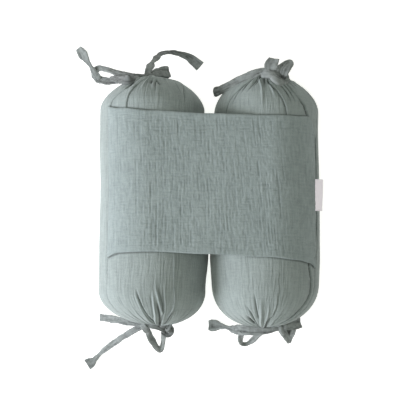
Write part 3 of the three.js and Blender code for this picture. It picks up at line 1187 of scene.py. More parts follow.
@dataclass
class Label:
    """A blank tape label, folded in half and caught in the right seam.

    Attributes:
        panel: The panel whose seam holds it.
        length: Its length along the seam.
        reach: How far it stands out.
        gap: Distance between its two layers.
        layer: Thickness of its tape.
        middle: Where along Y its middle is.
        lean: Its angle below level in degrees.
        seat: How far outside the roll it starts.
        drop: How far below the panel's edge it starts.
    """

    panel: Panel
    length: float = 37.0
    reach: float = 9.6
    gap: float = 0.5
    layer: float = 0.6
    middle: float = 3.9
    lean: float = 15.0
    seat: float = 1.4
    drop: float = -5.0

    def build(self, material: bpy.types.Material) -> bpy.types.Object:
        """Makes the label.

        Args:
            material: The tape.

        Returns:
            The finished piece.
        """
        piece = make_piece("label_tape", sheet_blank(48, 40), self._lay, material)
        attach(piece, "root")
        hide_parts("label")
        return piece

    def _lay(self, flat: np.ndarray) -> Laid:
        """Folds the tape out from the seam and back to it."""
        fold = (self.gap + self.layer) / 2
        straight = self.reach - fold
        length = 2 * straight + math.pi * fold
        travelled = flat[:, 0] * length
        y = self.middle + (flat[:, 1] - 0.5) * self.length
        offset = (flat[:, 2] - 0.5) * self.layer
        turn = np.clip((travelled - straight) / fold, 0.0, math.pi)
        returning = travelled > straight + math.pi * fold
        out = np.where(travelled < straight, travelled, straight + (fold + offset) * np.sin(turn))
        out = np.where(returning, length - travelled, out)
        side = (fold + offset) * np.cos(turn)
        wave = 0.5 * np.sin((y - self.middle) * 0.16 + 0.6) * (out / self.reach) ** 1.5
        root_x, root_radius, outward = self.panel.frame_at(np.ones(1), np.array([self.middle]))
        reach = root_radius[0] + self.seat
        cos, sin = math.cos(outward[0]), math.sin(outward[0])
        start_x = root_x[0] + reach * cos + self.drop * sin
        start_z = AXIS_HEIGHT + reach * sin - self.drop * cos
        lean = math.radians(self.lean)
        x = start_x + out * math.cos(lean) + (side + wave) * math.sin(lean) + 0.035 * (y - self.middle)
        z = start_z - out * math.sin(lean) + (side + wave) * math.cos(lean)
        rest = np.stack([travelled, y, np.zeros_like(y)], axis=1)
        return Laid(np.stack([x, y, z], axis=1), rest, np.zeros_like(y), rest)


# ---- Ties ----


@dataclass(frozen=True)
class Ribbon:
    """A length of folded muslin strip.

    Attributes:
        route: The points that it follows.
        shape: Rows of share of its length, width, thickness, curl of its edges, and turn in
            degrees from lying flat.
        ends: How it starts and how it finishes.
        seed: Which creases it has.
        painted_dimming: Rows of share of its length, and how much painted shade darkens it there.
        sides: How many sides it has.
    """

    route: Rows
    shape: Rows
    ends: tuple[TieEnd, TieEnd] = (TieEnd.TUCKED, TieEnd.OPEN)
    seed: int = 1
    painted_dimming: Rows = ((0.0, 0.0), (1.0, 0.0))
    sides: int = 36

    def line(self) -> np.ndarray:
        """Draws the middle of the strip, in millimetres."""
        drawn = curve_through(np.array(self.route, float))
        return evenly(drawn, np.linspace(0.0, 1.0, max(40, round(length_of(drawn) / 1.0))))

    def blank(self) -> bmesh.types.BMesh:
        """Makes the straight tube that the strip is shaped from."""
        rings = max(24, round(length_of(self.line()) / 0.9))
        return ribbon_blank(rings, self.sides, self.ends)

    def lay(self, flat: np.ndarray) -> Laid:
        """Lays the straight tube along the route and folds it flat.

        Args:
            flat: Points of the blank.

        Returns:
            Where they go.
        """
        line = self.line()
        shares = np.linspace(0.0, 1.0, len(line))
        ahead = np.gradient(line, axis=0)
        ahead /= np.linalg.norm(ahead, axis=1, keepdims=True)
        side = np.cross(ahead, [0.0, 0.0, 1.0])
        side /= np.maximum(np.linalg.norm(side, axis=1, keepdims=True), 1e-6)
        side = self._steadied(side)
        share = np.clip(flat[:, 2], 0.0, 1.0)
        spread = np.hypot(flat[:, 0], flat[:, 1])
        turn = np.arctan2(flat[:, 1], flat[:, 0])
        long = length_of(line)
        along = share * long
        columns = [look_up(self.shape, share, column) for column in (1, 2, 3, 4)]
        width, thick, curl, roll = columns
        width = width * (1.0 + 0.08 * self._uneven(1, 9.0, along) + 0.05 * self._uneven(2, 3.6, along))
        roll = roll + 8.0 * self._uneven(3, 13.0, along)
        cos, sin = np.cos(turn), np.sin(turn)
        x = 0.5 * width * np.sign(cos) * np.abs(cos) ** 0.75 * spread
        x = x + 0.3 * self._uneven(4, 9.0, along)
        face = np.sign(sin) * np.minimum(1.0, 2.0 * np.abs(sin)) * spread
        beyond = along + 50.0 * (sin > 0.0)
        creases = ClothNoise(self.seed, 1.25, 8.0).at(x, beyond)
        dents = ClothNoise(self.seed + 7, 2.6, 3.0).at(x, beyond)
        middle = (x / np.maximum(width, 1e-6)) + 0.22 + 0.14 * self._uneven(5, 18.0, along)
        groove = np.exp(-((middle / 0.055) ** 2))
        z = 0.5 * thick * np.sign(sin) * np.abs(sin) ** 0.75 * spread
        z = z + face * (0.30 * creases + 0.26 * dents - 0.22 * groove)
        z = z + curl * np.abs(2.0 * x / np.maximum(width, 1e-6)) ** 1.5
        centre = np.stack([np.interp(share, shares, line[:, k]) for k in range(3)], axis=1)
        forward = np.stack([np.interp(share, shares, ahead[:, k]) for k in range(3)], axis=1)
        beside = np.stack([np.interp(share, shares, side[:, k]) for k in range(3)], axis=1)
        beside -= forward * (beside * forward).sum(axis=1, keepdims=True)
        beside /= np.maximum(np.linalg.norm(beside, axis=1, keepdims=True), 1e-6)
        above = np.cross(beside, forward)
        tilt = np.radians(roll)[:, None]
        across = beside * np.cos(tilt) + above * np.sin(tilt)
        up = above * np.cos(tilt) - beside * np.sin(tilt)
        place = centre + x[:, None] * across + z[:, None] * up
        place[:, 2] = np.maximum(place[:, 2], 0.15)
        along = along + self.seed * 37.0
        rest = np.stack([turn * 3.0 * spread, along, z], axis=1)
        thread = np.stack([x, along, z], axis=1)
        # Painted shade in its middle groove, its creases and its dents.
        shade = 0.35 * groove + 0.45 * np.clip(-creases, 0.0, 1.0) + 0.3 * np.clip(-dents, 0.0, 1.0)
        # Painted shade inside its hollowed ends.
        hollow = 1.0 - ease(0.5, 0.75, spread)
        # More painted shade along its length, from its dimming rows.
        painted_dimming_table = np.array(self.painted_dimming, float)
        shade = shade + np.interp(share, painted_dimming_table[:, 0], painted_dimming_table[:, 1])
        return Laid(place, rest, np.clip(np.maximum(shade, hollow), 0.0, 1.0), thread)

    def _uneven(self, which: int, wave: float, along: np.ndarray) -> np.ndarray:
        """Gives one of the strip's unevennesses along its length, from -1 to 1."""
        return ClothNoise(self.seed + 20 * which, 1.0, wave).at(np.zeros_like(along), along)

    @staticmethod
    def _steadied(side: np.ndarray) -> np.ndarray:
        """Keeps the strip from flipping over, and takes the kinks out of how it turns."""
        steady = side.copy()
        for row in range(1, len(steady)):
            if steady[row] @ steady[row - 1] < 0:
                steady[row] = -steady[row]
        window = np.ones(7) / 7
        padded = np.vstack([steady[:1].repeat(3, 0), steady, steady[-1:].repeat(3, 0)])
        return np.stack([np.convolve(padded[:, k], window, "valid") for k in range(3)], axis=1)


@dataclass(frozen=True)
class Strand:
    """A free length of a tie.

    Attributes:
        name: The piece's name.
        nodes: The CAD nodes that it stands for.
        ribbon: Its strip.
        far_end: What its far end is; not used.
        width: Its usual width; not used.
    """

    name: str
    nodes: tuple[str, ...]
    ribbon: Ribbon
    far_end: str = "bare"
    width: float = 8.5

    def build(self, material: bpy.types.Material) -> bpy.types.Object:
        """Makes the strand."""
        piece = make_piece(self.name, self.ribbon.blank(), self.ribbon.lay, material)
        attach(piece, "root")
        if self.nodes:
            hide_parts(*self.nodes)
        return piece

    def declare(self, piece: bpy.types.Object, going_with: list[bpy.types.Object]) -> None:
        """Measures the strand's length along its route, and does nothing with it.

        Args:
            piece: The strand's piece; not used.
            going_with: The pieces that are on it; not used.
        """
        line = self.ribbon.line() * MM
        round(length_of(line), 4)


@dataclass(frozen=True)
class Knot:
    """A knot of a tie, with the short ears that stand out of it.

    Attributes:
        name: The piece's name.
        nodes: The CAD nodes that it stands for.
        turns: The strips that wrap round each other in it.
    """

    name: str
    nodes: tuple[str, ...]
    turns: tuple[Ribbon, ...]

    def build(self, material: bpy.types.Material) -> bpy.types.Object:
        """Makes the knot as one piece."""
        parts = [
            make_piece(f"{self.name}_turn_{index}", turn.blank(), turn.lay, material)
            for index, turn in enumerate(self.turns)
        ]
        joined = bmesh.new()
        for part in parts:
            joined.from_mesh(part.data)
            bpy.data.objects.remove(part)
        piece = make_joined(self.name, joined, material)
        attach(piece, "root")
        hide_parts(*self.nodes)
        return piece


def make_joined(
    name: str, joined: bmesh.types.BMesh, material: bpy.types.Material
) -> bpy.types.Object:
    """Makes one piece of shapes that are already in place.

    Args:
        name: The piece's name.
        joined: The shapes, which are freed.
        material: What they are made of.

    Returns:
        The piece.
    """
    mesh = bpy.data.meshes.new(name)
    joined.to_mesh(mesh)
    joined.free()
    mesh.materials.append(material)
    piece = bpy.data.objects.new(name, mesh)
    bpy.context.scene.collection.objects.link(piece)
    return piece


# ---- Stage ----


@dataclass(frozen=True)
class SoftLight:
    """A large soft light.

    Attributes:
        name: Its name.
        at: Where it stands, in metres.
        towards: What it points at, in metres.
        size: Its width, in metres.
        power: Its power, in watts.
        colour: Its colour.
    """

    name: str
    at: tuple[float, float, float]
    towards: tuple[float, float, float]
    size: float
    power: float
    colour: Colour

    def build(self) -> None:
        """Sets the light up."""
        lamp = bpy.data.lights.new(self.name, "AREA")
        lamp.shape = "DISK"
        lamp.size = self.size
        lamp.energy = self.power
        lamp.color = self.colour
        stand = bpy.data.objects.new(self.name, lamp)
        stand.location = self.at
        direction = Vector(self.towards) - Vector(self.at)
        stand.rotation_euler = direction.to_track_quat("-Z", "Y").to_euler()
        bpy.context.scene.collection.objects.link(stand)


@dataclass(frozen=True)
class Studio:
    """The camera, a plain pale floor and soft light.

    Attributes:
        target: What the camera looks at, in metres.
        distance: How far away it stands, in metres.
        elevation: How far above level it stands, in degrees.
        lens: Its focal length, in millimetres.
        floor_tone: How light the floor is.
        floor_glow: Light that the floor gives off, so that it stays even round the pillow.
    """

    target: tuple[float, float, float] = (0.0012, -0.0099, 0.060)
    distance: float = 1.19
    elevation: float = 83.5
    lens: float = 85.0
    floor_tone: Colour = (0.86, 0.86, 0.86)
    floor_glow: float = 0.74

    def place_camera(self) -> None:
        """Stands the camera above the pillow, a little towards its near end."""
        data = bpy.data.cameras.new("camera")
        data.lens = self.lens
        data.sensor_width = 36.0
        camera = bpy.data.objects.new("camera", data)
        lift = math.radians(self.elevation)
        back = Vector((0.0, -math.cos(lift), math.sin(lift)))
        camera.location = Vector(self.target) + self.distance * back
        camera.rotation_euler = (-back).to_track_quat("-Z", "Y").to_euler()
        bpy.context.scene.collection.objects.link(camera)
        bpy.context.scene.camera = camera

    def light(self) -> None:
        """Sets up the lights and the tone of the picture."""
        SoftLight(
            "window", (-1.42, -0.42, 0.60), (0.0, 0.0, 0.06), 0.8, 25.5, (0.93, 0.915, 1.01)
        ).build()
        SoftLight(
            "overhead", (-0.40, -0.36, 1.82), (0.0, 0.0, 0.0), 1.5, 15.2, (1.0, 1.0, 0.95)
        ).build()
        SoftLight(
            "bounce", (0.75, 0.85, 0.95), (0.0, 0.0, 0.06), 1.0, 1.3, (1.0, 1.0, 0.94)
        ).build()
        world = bpy.data.worlds.new("room")
        world.use_nodes = True
        background = world.node_tree.nodes["Background"]
        background.inputs["Color"].default_value = (1.0, 1.0, 0.95, 1.0)
        background.inputs["Strength"].default_value = 0.15
        bpy.context.scene.world = world
        bpy.context.scene.view_settings.view_transform = "Standard"

    def lay_floor(self) -> bpy.types.Object:
        """Lays the floor."""
        blank = bmesh.new()
        bmesh.ops.create_grid(blank, x_segments=1, y_segments=1, size=4.0)
        mesh = bpy.data.meshes.new("floor")
        blank.to_mesh(mesh)
        blank.free()
        material = bpy.data.materials.new("floor_paper")
        material.use_nodes = True
        shader = material.node_tree.nodes["Principled BSDF"]
        shader.inputs["Base Color"].default_value = (*self.floor_tone, 1.0)
        shader.inputs["Roughness"].default_value = 0.9
        shader.inputs["Emission Color"].default_value = (1.0, 1.0, 0.965, 1.0)
        shader.inputs["Emission Strength"].default_value = self.floor_glow
        mesh.materials.append(material)
        floor = bpy.data.objects.new("floor", mesh)
        bpy.context.scene.collection.objects.link(floor)
        return floor


# ---- The pillow's own tables ----

COVER = MuslinFinish("sage_muslin_cover", (0.342, 0.400, 0.382), (0.272, 0.320, 0.304))
PANEL = MuslinFinish("sage_muslin_panel", (0.344, 0.408, 0.396), (0.262, 0.316, 0.306), stretch=4.0)
# The ties are the cover's own cloth; their colour, darker than the cover's, is painted shade for the crumpled strips,
# and their crease shade is stronger.
TIE = MuslinFinish("sage_muslin_ties", (0.330, 0.366, 0.351), (0.240, 0.268, 0.257), 0.9, 420.0)
TAPE = TapeFinish("white_label_tape", (0.99, 0.94, 1.0))

LEFT_LOW = Gather(
    tip=-147.8, depth=41.0, power=1.93, drift=9.0, lift=0.0, seed=3, mouth=11.0, small_depth=0.65,
    nose=1.4,
    pleats=(
        Pleat(((0, 98), (5, 97.5), (12, 99), (20, 100), (29, 101), (38, 102.5), (46, 104)), 3.6, 1.05, 2.3, 3.0,
              Side.RIGHT, 0.55, 1.4),
        Pleat(((0, 97), (4, 95.5), (10, 91), (18, 89), (29, 88), (42, 88)), 1.0, 1.0, 0.3, 1.6, Side.RIGHT, 0.6, 0.3),
        Pleat(((0, 98), (4, 98), (9, 98), (15, 99.5)), 2.6, 1.6, 0.2, 2.0, Side.LEFT, 0.35, 2.2, 3.0),
        Pleat(((0, 94), (5, 91), (12, 87), (20, 86), (30, 85.5), (42, 85.5)), 0, 0.8, 2.0, 1.3, Side.BOTH, 0.5, 0),
        Pleat(((0, 84), (8, 81), (15, 81.5), (23, 82), (30, 83)), 3.0, 1.2, 1.0, 1.8, Side.LEFT, 0.45, 1.6),
        Pleat(((14, 76.5), (20, 78.5), (30, 80.5), (42, 82.5), (52, 83)), 0, 0.8, 1.6, 1.3, Side.BOTH, 0.6, 0, 13.0),
        Pleat(((0, 76), (18, 76), (24, 76), (29, 77), (35, 78.5), (42, 79.5), (52, 80.5)), 1.5, 1.4, 0.6, 2.0,
              Side.LEFT, 0.5, 0.8, 17.0),
        Pleat(((0, 81), (8, 77.5), (16, 74.5), (24, 74), (30, 74.5), (38, 75), (56, 76)), 2.0, 0.75, 3.0, 1.7,
              Side.RIGHT, 0.5, 0.7),
        Pleat(((0, 71), (8, 69), (14, 67), (20, 64), (26, 63), (38, 64), (66, 66.5), (86, 67.5)), 1.6, 0.75, 3.6, 1.4,
              Side.RIGHT, 0.8, 0.6),
        Pleat(((0, 67), (4, 67), (9, 66), (15, 63), (20, 62)), 2.6, 1.3, 0.8, 1.6, Side.LEFT, 0.35, 1.8),
        Pleat(((0, 60.5), (10, 61.5), (19, 60), (26, 60)), 1.6, 0.8, 1.2, 1.8, Side.LEFT, 0.5, 0.45),
        Pleat(((0, 104), (4, 103.5), (8, 102), (16, 102), (22, 103)), 1.2, 0.7, 1.4, 1.6, Side.LEFT, 0.4, 0.3),
        Pleat(((0, 115), (9, 111), (16, 111), (24, 112)), 0.8, 0.7, 1.3, 1.4, Side.LEFT, 0.45, 0.2),
        Pleat(((0, 122), (10, 121), (21, 121), (28, 122)), 0.8, 0.7, 1.0, 1.8, Side.LEFT, 0.4, 0.2),
        Pleat(((0, 50), (8, 45), (18, 41), (28, 39)), 1.32, 0.8, 1.03, 2.4, Side.LEFT, 0.35, 0.34),
        Pleat(((0, 38), (8, 35), (18, 32), (30, 30)), 1.1, 0.8, 0.92, 2.8, Side.RIGHT, 0.35, 0.29),
        Pleat(((0, 129), (12, 131), (26, 133)), 0.88, 0.9, 0.92, 2.2, Side.LEFT, 0.35, 0.23),
        Pleat(((0, 142), (12, 143), (30, 145)), 0.77, 1.0, 0.57, 3.0, Side.LEFT, 0.3, 0.23),
        Pleat(((0, 190), (18, 190), (40, 191)), 2.0, 1.3, 0.9, 4.0, Side.LEFT, 0.4),
        Pleat(((0, 232), (14, 231), (32, 229)), 2.0, 1.4, 0.9, 4.0, Side.RIGHT, 0.4),
        Pleat(((0, 318), (16, 318), (36, 316)), 2.0, 1.4, 0.9, 4.0, Side.LEFT, 0.4),
        Pleat(((0, 5), (14, 4), (36, 3)), 1.8, 1.3, 0.9, 4.0, Side.LEFT, 0.4),
    ),
)

LEFT_HIGH = Gather(
    tip=150.0, depth=38.0, power=1.64, drift=1.5, lift=8.0, seed=11, mouth=10.0, small_depth=0.55, collar=0.9,
    pleats=(
        Pleat(((0, 93), (9.5, 98.5), (13, 103), (22.5, 109), (30, 112), (41, 114), (47, 114.5), (74, 115)),
              1.9, 0.5, 1.6, 6.0, Side.LEFT, 0.85, 1.0, 19.0),
        Pleat(((0, 93), (9.5, 98.5), (13, 103), (22.5, 109), (30, 112)), 0.9, 0.6, 1.3, 4.0, Side.LEFT, 0.6, 0.25, 6.0),
        Pleat(((0, 92), (11.5, 95), (16.5, 97), (21, 99), (28, 101)), 0.0, 0.8, 2.0, 1.2, Side.BOTH, 0.5, 0.0),
        Pleat(((0, 100), (14, 107), (24, 113), (34, 117)), 0.5, 0.8, 0.8, 2.2, Side.LEFT, 0.45, 0.1),
        Pleat(((0, 116), (15.5, 118), (24, 120)), 3.4, 2.2, 0.5, 2.0, Side.LEFT, 0.8, 2.0, 13.0),
        Pleat(((0, 117), (8, 121), (18, 126), (28, 130)), 1.0, 0.8, 0.7, 2.4, Side.LEFT, 0.4, 0.3),
        Pleat(((0, 88), (14, 88.5), (19, 89)), 3.4, 1.4, 0.4, 2.0, Side.LEFT, 0.7, 1.0, 11.0),
        Pleat(((0, 80), (12, 80.5), (17, 77.5), (21, 75.5)), 3.4, 1.2, 0.5, 2.0, Side.RIGHT, 0.7, 1.0, 10.0),
        Pleat(((0, 82), (16, 83), (24, 83.5), (34, 84.5)), 2.8, 0.85, 0.9, 2.0, Side.RIGHT, 0.4, 0.9, 13.0),
        Pleat(((0, 86), (16, 86), (28, 87)), 0.0, 0.8, 1.2, 1.1, Side.BOTH, 0.5, 0.0),
        Pleat(((0, 92), (18, 94.5), (29, 94.5), (45, 94), (60, 94)), 0.7, 0.6, 0.7, 1.3, Side.RIGHT, 0.7, 0.3),
        Pleat(((0, 78), (21, 79), (34, 79.5), (50, 80)), 0.4, 0.7, 0.6, 2.0, Side.LEFT, 0.5, 0.1),
        Pleat(((0, 46), (16, 50.5), (25, 52), (32, 52)), 1.9, 1.0, 0.9, 2.4, Side.LEFT, 0.6, 0.8, 13.0),
        Pleat(((0, 36), (16, 39), (25, 46.5), (34, 49), (44, 50)), 2.0, 1.0, 0.9, 2.6, Side.LEFT, 0.6, 0.8, 13.0),
        Pleat(((0, 70), (9, 66), (18, 64)), 1.4, 0.9, 0.7, 2.2, Side.LEFT, 0.4, 0.3),
        Pleat(((0, 195), (14, 195), (34, 196)), 2.0, 1.4, 0.9, 4.0, Side.LEFT, 0.4),
        Pleat(((0, 240), (14, 240), (34, 238)), 2.0, 1.4, 0.9, 4.0, Side.RIGHT, 0.4),
        Pleat(((0, 300), (14, 300), (34, 302)), 2.0, 1.4, 0.9, 4.0, Side.LEFT, 0.4),
        Pleat(((0, 345), (14, 345), (34, 346)), 1.8, 1.4, 0.9, 4.0, Side.LEFT, 0.4),
    ),
)

RIGHT_LOW = Gather(
    tip=-150.5, depth=54.0, power=2.25, drift=-2.5, lift=0.0, seed=23, mouth=14.0, small_depth=0.4,
    nose=1.4,
    pleats=(
        Pleat(((0, 99), (13, 102), (22, 103), (35, 104), (44, 105)), 2.4, 1.0, 1.4, 2.0, Side.RIGHT, 0.6, 1.0, 11.0),
        Pleat(((0, 112), (3, 112), (7, 110), (13, 110.5), (18, 112), (23, 114), (30, 116)), 2.4, 1.0, 1.5, 2.0,
              Side.RIGHT, 0.5, 0.95),
        Pleat(((0, 117), (5, 117), (8, 118), (12, 119), (16, 119)), 3.2, 1.8, 0.5, 2.6, Side.LEFT, 0.45, 1.6, 4.0),
        Pleat(((0, 105), (2, 105), (9, 101), (17, 101)), 1.0, 0.8, 0.9, 1.6, Side.RIGHT, 0.45, 0.3),
        Pleat(((0, 100), (14, 97), (25, 97), (36, 97.5)), 0, 0.8, 1.6, 1.8, Side.BOTH, 0.5, 0),
        Pleat(((0, 93.5), (8, 93.5), (16, 93.5)), 0.8, 0.8, 0.3, 1.6, Side.LEFT, 0.45, 0.3),
        Pleat(((0, 91), (14, 88), (30, 86.5)), 0, 0.8, 1.3, 1.3, Side.BOTH, 0.45, 0),
        Pleat(((0, 86), (6, 86), (9, 84.5), (14, 83)), 2.4, 1.3, 0.6, 1.6, Side.LEFT, 0.45, 1.7),
        Pleat(((0, 83), (4, 83), (9, 83), (14, 79.5), (22, 78), (30, 78), (36, 79), (44, 79)), 1.9, 0.85, 1.5, 1.8,
              Side.LEFT, 0.55, 0.45),
        Pleat(((0, 72), (8, 72), (13, 69), (18, 68), (25, 68)), 2.0, 0.85, 1.8, 2.0, Side.LEFT, 0.5, 0.5),
        Pleat(((0, 72), (6, 66), (13, 52), (19, 46)), 2.02, 0.9, 1.39, 2.2, Side.LEFT, 0.5, 0.45),
        Pleat(((0, 72), (8, 66), (18, 61), (28, 57)), 1.29, 0.8, 1.09, 2.0, Side.LEFT, 0.4, 0.26),
        Pleat(((0, 54), (8, 49), (20, 44), (30, 41)), 1.1, 0.9, 0.79, 2.6, Side.LEFT, 0.4, 0.23),
        Pleat(((0, 124), (8, 129), (20, 133)), 1.1, 0.9, 0.89, 2.2, Side.LEFT, 0.4, 0.26),
        Pleat(((0, 138), (10, 142), (24, 145)), 0.92, 0.9, 0.79, 2.6, Side.LEFT, 0.4, 0.19),
        Pleat(((0, 160), (14, 157), (34, 154)), 1.3, 1.0, 0.8, 2.8, Side.LEFT, 0.4),
        Pleat(((0, 200), (18, 200), (42, 201)), 2.0, 1.4, 0.9, 4.0, Side.LEFT, 0.4),
        Pleat(((0, 262), (18, 262), (40, 260)), 2.0, 1.4, 0.9, 4.0, Side.RIGHT, 0.4),
        Pleat(((0, 330), (18, 330), (42, 332)), 1.8, 1.4, 0.9, 4.0, Side.LEFT, 0.4),
    ),
)

RIGHT_HIGH = Gather(
    tip=150.5, depth=43.0, power=1.8, drift=-4.0, lift=14.0, seed=37, mouth=11.0, collar=0.9,
    pleats=(
        Pleat(((0, 100), (10.5, 112.5), (16, 121), (22.5, 126.5), (29.5, 133), (36, 137), (43.5, 140), (50, 142),
               (74, 144)), 3.4, 1.45, 1.5, 3.0, Side.RIGHT, 0.88, 2.0),
        Pleat(((0, 104), (15, 119), (24.5, 125), (31, 128.5), (37.5, 131), (46, 132)), 3.0, 1.15, 2.0, 2.0,
              Side.RIGHT, 0.55, 1.8, 13.0),
        Pleat(((0, 100), (11, 112), (17.5, 117), (25.5, 121), (32, 123)), 3.2, 1.2, 2.2, 1.8, Side.RIGHT, 0.5, 2.1),
        Pleat(((0, 97), (12, 105), (17.5, 108), (26, 114), (32, 116)), 2.9, 1.05, 2.1, 1.6, Side.RIGHT, 0.5, 1.8),
        Pleat(((0, 95), (16.5, 104), (25, 109.5)), 2.4, 1.0, 1.6, 1.5, Side.RIGHT, 0.5, 1.3),
        Pleat(((0, 101), (12, 102), (17, 99), (23, 97.5), (34, 97), (43, 97), (60, 97)), 0.0, 0.8, 1.5, 1.1,
              Side.BOTH, 0.4, 0.0),
        Pleat(((0, 92), (17, 93), (33.5, 94), (52, 93.5), (74, 93)), 0.5, 0.65, 0.3, 1.6, Side.RIGHT, 0.5, 0.25),
        Pleat(((0, 93), (14, 93.5), (26, 94.5)), 2.8, 1.5, 0.3, 1.6, Side.RIGHT, 0.5, 1.0, 8.0),
        Pleat(((0, 92), (12, 90), (23, 86), (31, 84), (42, 82)), 0.0, 0.8, 1.8, 1.2, Side.BOTH, 0.5, 0.0),
        Pleat(((0, 90), (17, 88), (22, 84.5), (28, 82)), 3.4, 1.5, 0.3, 2.0, Side.LEFT, 0.7, 1.1, 13.0),
        Pleat(((0, 92), (17, 87.5), (22.5, 84), (29, 79.5), (38, 75.5), (48, 72), (57, 71), (78, 69.5)), 2.6, 0.7,
              2.6, 1.7, Side.RIGHT, 0.85, 1.1),
        Pleat(((0, 76), (20.5, 72), (27.5, 69), (37, 66), (46, 65)), 2.8, 0.95, 1.6, 1.6, Side.RIGHT, 0.65, 1.2, 13.0),
        Pleat(((0, 72), (20, 66.5), (28, 63.5), (38, 61), (44, 60)), 2.6, 0.95, 1.5, 1.6, Side.RIGHT, 0.6, 1.1, 13.0),
        Pleat(((0, 66), (18, 61), (30, 57), (36, 55)), 2.2, 1.0, 1.2, 1.8, Side.RIGHT, 0.5, 0.8, 12.0),
        Pleat(((0, 58), (16, 53), (26, 50)), 1.8, 1.0, 1.0, 1.8, Side.RIGHT, 0.5, 0.6, 10.0),
        Pleat(((0, 40), (14, 44.5), (22, 47)), 2.4, 1.3, 0.6, 2.0, Side.RIGHT, 0.6, 1.0, 9.0),
        Pleat(((0, 150), (10, 152), (26, 155)), 1.6, 0.9, 0.8, 2.8, Side.LEFT, 0.45),
        Pleat(((0, 172), (14, 172), (34, 173)), 1.8, 1.4, 0.9, 4.0, Side.LEFT, 0.4),
        Pleat(((0, 215), (14, 215), (34, 214)), 2.0, 1.4, 0.9, 4.0, Side.RIGHT, 0.4),
        Pleat(((0, 270), (14, 270), (34, 271)), 2.0, 1.4, 0.9, 4.0, Side.LEFT, 0.4),
        Pleat(((0, 325), (14, 325), (34, 326)), 1.8, 1.4, 0.9, 4.0, Side.LEFT, 0.4),
    ),
)

LEFT_ROLL = Roll(
    name="bolster_left_cover", node="bolster_left", seed=101, low=LEFT_LOW, high=LEFT_HIGH,
    panel_edge=(
        (64, -64.0, 97.6, 0), (78, -64.0, 97.8, 0.7), (89, -64.3, 98.3, 1), (123.4, -65.0, 103.5, 1),
        (141, -69.3, 107.8, 1), (143, -69.7, 108.2, 0),
    ),
    girth=((-106, 63.4, -67.9), (-66, 65.6, -66.0), (0, 64.3, -66.2), (108, 63.2, -68.9)),
    seams=(
        Seam(((-147, 146, 0.2), (-120, 144, 0.3), (-70, 142, 0.3), (95, 139, 1.0), (107.5, 138, 1.0),
              (113.5, 135.5, 1.0), (118, 132, 0.9), (122, 127, 0.7), (127, 122, 0.5), (138, 114, 0.3),
              (147, 108, 0.2)), 3.0, 1.0, 0.3),
    ),
)

RIGHT_ROLL = Roll(
    name="bolster_right_cover", node="bolster_right", seed=211, low=RIGHT_LOW, high=RIGHT_HIGH, streak=11.0,
    panel_edge=(
        (28, -82.0, 78.5, 0), (30, -81.1, 80.6, 1), (43, -76.0, 95.5, 1), (58.7, -73.5, 93.5, 1),
        (91, -70.3, 93.1, 0.8), (104, -70.0, 93.2, 0.5), (120, -69.8, 93.4, 0),
    ),
    girth=((-106, 63.4, 66.9), (-66, 65.4, 66.5), (0, 64.4, 68.4), (108, 63.0, 69.3)),
    seams=(
        Seam(((-147, 46, 0.4), (-128, 41, 0.7), (-121, 39, 1.0), (-111, 36.5, 1.0), (-95, 37.5, 1.0), (-78, 42, 1.0),
              (-66, 39, 1.0), (-40, 27, 1.0), (70, 27, 1.0), (92, 41, 1.0), (98, 44.8, 1.1), (106, 48, 1.1),
              (112.5, 53, 0.5), (120, 57, 0.15), (147, 70, 0.0)), 3.6, 1.05, 0.9),
        Seam(((-147, 37, 1.0), (-130, 31, 1.0), (-108, 29, 1.0), (-84, 30, 1.0), (-40, 22, 1.0), (90, 22, 1.0),
              (110, 24, 1.0), (147, 34, 1.0)), 0.8, 0.9, 0.3),
    ),
)


def flat_strip(*rows: tuple[float, ...]) -> Rows:
    """Names the rows of a strip's shape: share, width, thickness, curl and turn."""
    return rows


TOP_LEFT_LOOP = Strand(
    "tie_top_left_loop_strand", ("tie_top_left_loop",),
    Ribbon(
        route=(
            (-86.8, 147.5, 73), (-94.5, 148.2, 67), (-103.7, 149.7, 58), (-114.6, 151.8, 46.5),
            (-124.4, 153.9, 35), (-132.4, 157.2, 24.5), (-139.6, 161.5, 16), (-144.2, 167.5, 12),
            (-143.9, 172.7, 12.5), (-139.2, 175, 16.5), (-131.4, 172.6, 24), (-123.5, 168.2, 33),
            (-115, 162.8, 44), (-105.1, 156.6, 57), (-95.6, 151.5, 69), (-86.6, 149, 75),
        ),
        shape=flat_strip(
            (0, 8, 3.4, 0, -14), (0.1, 11.6, 3.2, 0.4, -24), (0.2, 13.4, 3, 0.6, -30),
            (0.3, 12.6, 3, 0.6, -30), (0.38, 13, 2.8, 0.7, -24), (0.45, 11, 2.8, 0.6, -10),
            (0.52, 8.6, 2.8, 0.4, 0), (0.6, 7.4, 2.8, 0.3, 14), (0.68, 8.4, 2.8, 0.4, 26),
            (0.76, 10.4, 2.8, 0.5, 30), (0.86, 12.6, 3, 0.5, 26), (0.94, 12, 3.2, 0.3, 20),
            (1, 8, 3.4, 0, 10),
        ),
        ends=(TieEnd.TUCKED, TieEnd.TUCKED),
        seed=5,
        painted_dimming=((0, 0.2), (0.06, 0.2), (0.14, 0.42), (0.24, 0.44), (0.36, 0.2), (0.5, 0.06), (0.7, 0.12), (0.82, 0.26), (1, 0.3)),
    ),
    far_end="object",
    width=10.5,
)

